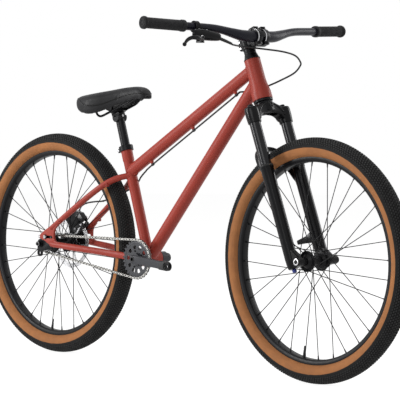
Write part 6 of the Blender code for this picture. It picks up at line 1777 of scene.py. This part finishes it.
RAIL_HALF = mm((-66, 33, 15.4), (-65.8, 32.8, 6.4), (-65, 32.5, -2), (-63.1, 31.7, -8.8), (-60, 30.5, -14),
    (-55.9, 28.7, -17.2), (-50, 26.5, -18), (-43.8, 24, -16.1), (-30, 22, -10.6), (4.9, 21.9, 1.6), (40, 22, 14.1),
    (54.3, 20.8, 19.7), (62, 19, 23.5), (71, 16.7, 28.3), (79, 14, 33), (86.5, 11.2, 37.8), (93, 8.5, 41.8),
    (97.9, 6.2, 43.8), (101.5, 4, 44.8), (103.3, 2, 45.2), (104.5, 0, 45.3))
SADDLE_STATIONS = mm((-138.7, 33, 31.8, 16.8), (-131.7, 52, 39.8, 8.8), (-117.7, 64, 44.3, -1.7),
    (-95.7, 70, 47.8, -10.2), (-65.7, 69.5, 52.3, -14.2), (-35.7, 61, 56.3, -9.7), (-5.7, 48, 60.3, 0.8),
    (24.3, 36, 64.8, 12.8), (54.3, 28.5, 68.3, 21.8), (84.3, 25, 70.3, 28.3), (106.3, 23.5, 67.8, 31.3),
    (120.3, 21.5, 59.8, 31.8), (127.3, 17, 49.8, 32.8))
SADDLE_SHAPE = [(0.84, 0.02), (0.9, 0.0), (0.97, 0.16), (1.0, 0.42), (0.985, 0.62), (0.92, 0.8), (0.74, 0.93),
    (0.42, 0.985), (0.0, 1.0)]
SADDLE_HOLLOW = [(0.0, 0.55), (0.35, 0.52), (0.7, 0.42)]


class BIKE_OT_seatpost(bpy.types.Operator):
    """Make the seatpost, its collar, and the clamp that holds the rails"""
    bl_idname = "bike.seatpost"
    bl_label = "Seatpost and clamp"

    def execute(self, context):
        post = turned("Seatpost", mm((0, 205), (13, 205), (13.6, 205.6), (13.6, 425), (12.8, 433), (11.5, 436),
            (0, 436)), WORLD, 56)
        head = turned("Head", mm((0, -17.5), (13, -17.5), (14, -16.5), (14, 16.5), (13, 17.5), (0, 17.5)),
            Matrix.Translation((0.0, 0.0, 0.436)) @ ALONG_AXLE, 48)
        for part in (post, head):
            cut(settle(part, part.name, SEAT), along(SADDLE.x, SADDLE.z, -0.03, 0.03, 0.0203, "Cradle", 64))
        piece = give_finish(joined("Seatpost", [post, head]), "black_alloy")
        screw = give_finish(bolt("Screw", SEAT @ Vector((0.0136, 0.0, 0.4375)), SEAT.to_3x3() @ Vector(AHEAD),
            0.0036), "silver_steel")
        assemble("Seatpost", [piece, screw], "post", "black_alloy")
        collar = turned("Collar", mm((17.4, 331), (20.6, 331), (21.3, 331.8), (21.3, 345.6), (20.6, 346.5),
            (13.9, 346.5), (13.9, 345.5), (17.4, 345.3)), WORLD, 56)
        lugs = []
        for low, high in ((-0.0085, -0.0008), (0.0008, 0.0085)):
            lug = plate("Lug", mm((-19.5, 332.8), (-19.5, 344.5), (-27.5, 344.5), (-30, 342.5), (-30, 334.8),
                (-27.5, 332.8)), low, high)
            lugs.append(bevelled(lug, 0.0008, 2))
        body = give_finish(joined("Seat_collar", [collar] + lugs), "black_alloy")
        screw = [bolt("Screw", (-0.0252, -0.008, 0.3388), (0.0, -1.0, 0.0), 0.004), along(-0.0252, 0.3388, -0.0085,
            0.0115, 0.0026, "Shank", 16), turned("Nut", mm((0, 8.5), (4.2, 8.5), (4.2, 11.8), (3.6, 12.5),
            (0, 12.5)), Matrix.Translation((-0.0252, 0.0, 0.3388)) @ ALONG_AXLE, 24)]
        for part in screw:
            give_finish(part, "silver_steel")
        assemble("Seat_collar", [body] + screw, "frame", "black_alloy", SEAT)
        tilt = Matrix.Translation(SADDLE) @ Matrix.Rotation(math.radians(-19.4), 4, "Y")
        jaws = []
        for low, high, length in ((-0.0054, -0.0006, 0.015), (0.0006, 0.005, 0.014)):
            jaw = plate("Jaw", [(-length, low), (-length, high - 0.001), (-length + 0.003, high),
                (length - 0.003, high), (length, high - 0.001), (length, low)], -0.0208, 0.0208)
            jaws.append(settle(bevelled(jaw, 0.0012, 3), "Jaw", tilt))
        keel = plate("Keel", [polar(0.0196, math.radians(turn)) for turn in range(215, 326, 5)] + [(0.012, -0.003),
            (-0.012, -0.003)], -0.012, 0.012)
        jaws.append(settle(bevelled(keel, 0.0006, 2), "Keel", Matrix.Translation(SADDLE)))
        clamp = give_finish(joined("Saddle_clamp", jaws), "black_alloy")
        screws = []
        for x in (-0.0105, 0.0105):
            screws.append(bolt("Bolt", tilt @ Vector((x, 0.0, 0.005)), tilt.to_3x3() @ Vector(UP), 0.0034))
        for piece in screws:
            give_finish(piece, "silver_steel")
        assemble("Saddle_clamp", [clamp] + screws, "saddle", "black_alloy")
        return {"FINISHED"}


def saddle_section(x, half_width, top, skirt, inset=0.0):
    """One ring across the saddle, from its hollow underside out and over the crown."""
    depth = top - skirt
    half = [(share * half_width, skirt + depth * lift) for share, lift in SADDLE_HOLLOW + SADDLE_SHAPE]
    ring = half + [(-y, z) for y, z in reversed(half[1:-1])]
    middle = (skirt + top) / 2 + depth * 0.2
    return [SADDLE + Vector((x, y * (1.0 - inset / max(half_width, 0.01)),
        middle + (z - middle) * (1.0 - inset / 0.02))) for y, z in ring]


def saddle_stations():
    """The saddle's sections from tail to nose, with finer steps than the table."""
    fine = [tuple(point)
        for point in zip(*[[value.x for value in smooth_path([(row[k], 0.0, 0.0) for row in SADDLE_STATIONS], 4)]
        for k in range(4)])]
    nose = mm((128.8, 12.8, 47, 34.5), (129.7, 7, 44, 37.2))
    tail = [(-0.1402, 0.018, 0.0288, 0.019)]
    return tail + fine + nose


class BIKE_OT_saddle(bpy.types.Operator):
    """Make the padded saddle cover with its piped seams, the base under it and the rails"""
    bl_idname = "bike.saddle"
    bl_label = "Saddle"

    def execute(self, context):
        rails = [SADDLE + Vector(point) for point in RAIL_HALF]
        other = [SADDLE + Vector((x, -y, z)) for x, y, z in reversed(RAIL_HALF[:-1])]
        rail = pipe("Saddle_rails", smooth_path(rails + other, 3), 0.0035, 20)
        finish_piece(rail, "saddle", "black_alloy", "saddle_rails")
        base = cad_copy("saddle_base", "Saddle_base", 0.0004, 1)
        finish_piece(base, "saddle", "black_plastic", "saddle_base", angle=50.0)

        cover = loft("Saddle_cover", [saddle_section(*row, inset=0.0006) for row in saddle_stations()])
        self.pad(cover)
        give_finish(cover, "saddle_vinyl")
        finish_piece(cover, "saddle", None, "saddle_cover", slot="saddle_vinyl", angle=70.0)
        self.pipe_seams(cover)
        return {"FINISHED"}

    def pad(self, cover):
        """Fill the cover with a little pressure, keep it close to its foam, and round it."""
        remesh = cover.modifiers.new("Even", "REMESH")
        remesh.mode = "VOXEL"
        remesh.voxel_size = 0.0028
        apply_modifiers(cover)
        before = [vertex.co.copy() for vertex in cover.data.vertices]
        cloth = cover.modifiers.new("Fill", "CLOTH")
        cloth.settings.quality = 5
        cloth.settings.mass = 0.3
        cloth.settings.use_pressure = True
        cloth.settings.uniform_pressure_force = 3.0
        cloth.settings.tension_stiffness = 20.0
        cloth.settings.compression_stiffness = 20.0
        cloth.settings.effector_weights.gravity = 0.0
        cloth.point_cache.frame_start = 1
        cloth.point_cache.frame_end = 12
        scene = bpy.context.scene
        for number in range(1, 13):
            scene.frame_set(number)
        apply_modifiers(cover)
        scene.frame_set(1)
        for vertex, start in zip(cover.data.vertices, before):
            moved = vertex.co - start
            if moved.length > 0.0012:
                vertex.co = start + moved.normalized() * 0.0012
        subdivided(cover, 1)

    def pipe_seams(self, cover):
        """Sew a thin cord, darkened by painted shade of the seam, onto the cover in one loop round its top panel."""
        half = mm((-140, 0, 30), (-138.5, -20, 31.5), (-133, -43, 35), (-121, -58.5, 36.5), (-104.5, -64, 31),
            (-89, -68.8, 22.2), (-74.1, -69.1, 16), (-55, -66, 13.4), (-35.3, -59.5, 14.6), (-17.1, -51.8, 18.7),
            (7.1, -41.6, 27.3), (32.7, -32.7, 36.3), (61.3, -26.6, 44.6), (88.9, -23.8, 49.2), (112, -21.9, 49.8),
            (123, -16, 49), (127.2, -7, 48), (128, 0, 47.8))
        loop = half + [(x, -y, z) for x, y, z in reversed(half[1:-1])] + [half[0]]
        radius = size_of("seam_radius")
        snug = []
        for point in smooth_path([SADDLE + Vector(point) for point in loop], 5):
            _, spot, normal, _ = cover.closest_point_on_mesh(point)
            snug.append(spot - normal * radius * 0.15)
        piping = pipe("Saddle_piping", snug, radius, 10)
        finish_piece(piping, "saddle", "piping_plastic", slot="saddle_vinyl", angle=60.0)


# Stage

VIEW_AROUND = 45.7507
VIEW_ABOVE = 2.2387
VIEW_ROLL = 0.3093


def background_rays(tree):
    """1 for the rays that show the white background: seen directly, in gloss or through glass."""
    path = new_node(tree, "ShaderNodeLightPath")
    seen = maths(tree, "MAXIMUM", path.outputs["Is Camera Ray"], path.outputs["Is Transmission Ray"])
    return maths(tree, "MAXIMUM", seen, path.outputs["Is Glossy Ray"])


class BIKE_OT_stage(bpy.types.Operator):
    """Make the floor, the lamps and the camera"""
    bl_idname = "bike.stage"
    bl_label = "Stage"

    def execute(self, context):
        scene = context.scene
        bpy.ops.mesh.primitive_circle_add(vertices=96, radius=14.0, fill_type="NGON")
        floor = settle(made(), "Floor", Matrix.Translation((0.0, 0.0, -0.0005)))
        material = bpy.data.materials.new("floor_white")
        material.use_nodes = True
        tree = material.node_tree
        pale = tree.nodes["Principled BSDF"]
        feed(pale, Base_Color=(0.8, 0.8, 0.8, 1.0), Roughness=0.9, Specular_IOR_Level=0.1)
        glow = feed(new_node(tree, "ShaderNodeEmission"), Color=(1.0, 1.0, 1.0, 1.0), Strength=0.9)
        dim = feed(new_node(tree, "ShaderNodeBsdfDiffuse"), Color=(0.28, 0.28, 0.28, 1.0))
        both = new_node(tree, "ShaderNodeAddShader")
        tree.links.new(glow.outputs["Emission"], both.inputs[0])
        tree.links.new(dim.outputs["BSDF"], both.inputs[1])
        blend = new_node(tree, "ShaderNodeMixShader")
        tree.links.new(background_rays(tree), blend.inputs["Fac"])
        tree.links.new(pale.outputs["BSDF"], blend.inputs[1])
        tree.links.new(both.outputs["Shader"], blend.inputs[2])
        tree.links.new(blend.outputs["Shader"], tree.nodes["Material Output"].inputs["Surface"])
        floor.data.materials.append(material)

        world = bpy.data.worlds.new("Studio")
        scene.world = world
        world.use_nodes = True
        tree = world.node_tree
        soft = tree.nodes["Background"]
        feed(soft, Color=(1.0, 1.0, 1.0, 1.0), Strength=0.3)
        white = feed(new_node(tree, "ShaderNodeBackground"), Strength=1.0, Color=(1.0, 1.0, 1.0, 1.0))
        blend = new_node(tree, "ShaderNodeMixShader")
        tree.links.new(background_rays(tree), blend.inputs["Fac"])
        tree.links.new(soft.outputs["Background"], blend.inputs[1])
        tree.links.new(white.outputs["Background"], blend.inputs[2])
        tree.links.new(blend.outputs["Shader"], tree.nodes["World Output"].inputs["Surface"])

        for name, turn, distance, height, wide, tall, power in (("Key", -84.0, 6.4, 2.1, 1.2, 3.2, 290.0),
                ("Front", -24.0, 5.2, 3.1, 2.6, 2.2, 66.0), ("Rim", 117.0, 5.6, 2.0, 1.4, 3.0, 100.0),
                ("Top", 180.0, 0.4, 4.6, 2.0, 2.0, 62.0)):
            way = math.radians(VIEW_AROUND + turn)
            place = Vector((math.sin(way) * distance, -math.cos(way) * distance, height))
            bpy.ops.object.light_add(type="AREA", location=place)
            lamp = made()
            lamp.name = name
            lamp.data.shape = "RECTANGLE"
            lamp.data.size = wide
            lamp.data.size_y = tall
            lamp.data.energy = power
            back = (place - Vector((0.0, 0.0, 0.5))).normalized()
            level = Vector(UP).cross(back).normalized()
            facing_in = Matrix((level, back.cross(level), back)).transposed().to_4x4()
            lamp.matrix_world = Matrix.Translation(place) @ facing_in

        around, above, roll = math.radians(VIEW_AROUND), math.radians(VIEW_ABOVE), math.radians(VIEW_ROLL)
        back = Vector((math.sin(around) * math.cos(above), -math.cos(around) * math.cos(above), math.sin(above)))
        right = Vector((math.cos(around), math.sin(around), 0.0))
        up = back.cross(right)
        side = right * math.cos(roll) + up * math.sin(roll)
        rise = up * math.cos(roll) - right * math.sin(roll)
        place = Matrix((side, rise, back)).transposed().to_4x4()
        place.translation = Vector((0.085, 0.0, 0.4898)) + back * 6.2278
        bpy.ops.object.camera_add()
        camera = made()
        camera.matrix_world = place
        camera.data.lens = 194.68
        camera.data.sensor_width = 36.0
        camera.data.clip_end = 50.0
        scene.camera = camera
        scene.view_settings.view_transform = "Standard"
        return {"FINISHED"}


# Panel and registering

OPERATORS = (BIKE_OT_head_tube, BIKE_OT_frame_tubes, BIKE_OT_stays, BIKE_OT_dropouts, BIKE_OT_bottom_bracket,
    BIKE_OT_tyres, BIKE_OT_rims, BIKE_OT_spokes, BIKE_OT_hubs, BIKE_OT_rotor, BIKE_OT_chainring, BIKE_OT_cranks,
    BIKE_OT_sprocket, BIKE_OT_chain, BIKE_OT_fork_crown, BIKE_OT_fork_lowers, BIKE_OT_rebound_knob, BIKE_OT_stem,
    BIKE_OT_handlebar, BIKE_OT_grips, BIKE_OT_brake_controls, BIKE_OT_hoses, BIKE_OT_caliper, BIKE_OT_seatpost,
    BIKE_OT_saddle, BIKE_OT_stage)


class BIKE_PT_panel(bpy.types.Panel):
    """Sizes, colours and pieces of the bike"""
    bl_idname = "BIKE_PT_panel"
    bl_label = "Hardtail bike"
    bl_space_type = "VIEW_3D"
    bl_region_type = "UI"
    bl_category = "Hardtail bike"

    def draw(self, context):
        layout = self.layout
        for group in (context.scene.bike_sizes, context.scene.bike_colours):
            box = layout.box()
            for name in group.__annotations__:
                box.prop(group, name)
        for operator in OPERATORS:
            layout.operator(operator.bl_idname)


def register():
    for cls in (BikeColours, BikeSizes, *OPERATORS, BIKE_PT_panel):
        bpy.utils.register_class(cls)
    bpy.types.Scene.bike_colours = bpy.props.PointerProperty(type=BikeColours)
    bpy.types.Scene.bike_sizes = bpy.props.PointerProperty(type=BikeSizes)


def unregister():
    del bpy.types.Scene.bike_sizes
    del bpy.types.Scene.bike_colours
    for cls in reversed((BikeColours, BikeSizes, *OPERATORS, BIKE_PT_panel)):
        bpy.utils.unregister_class(cls)


def main():
    register()
    for operator in OPERATORS:
        group, name = operator.bl_idname.split(".")
        getattr(getattr(bpy.ops, group), name)()
    if "Bolt_pattern" in bpy.data.objects:
        bpy.data.objects.remove(bpy.data.objects["Bolt_pattern"])


if __name__ == "__main__":
    main()
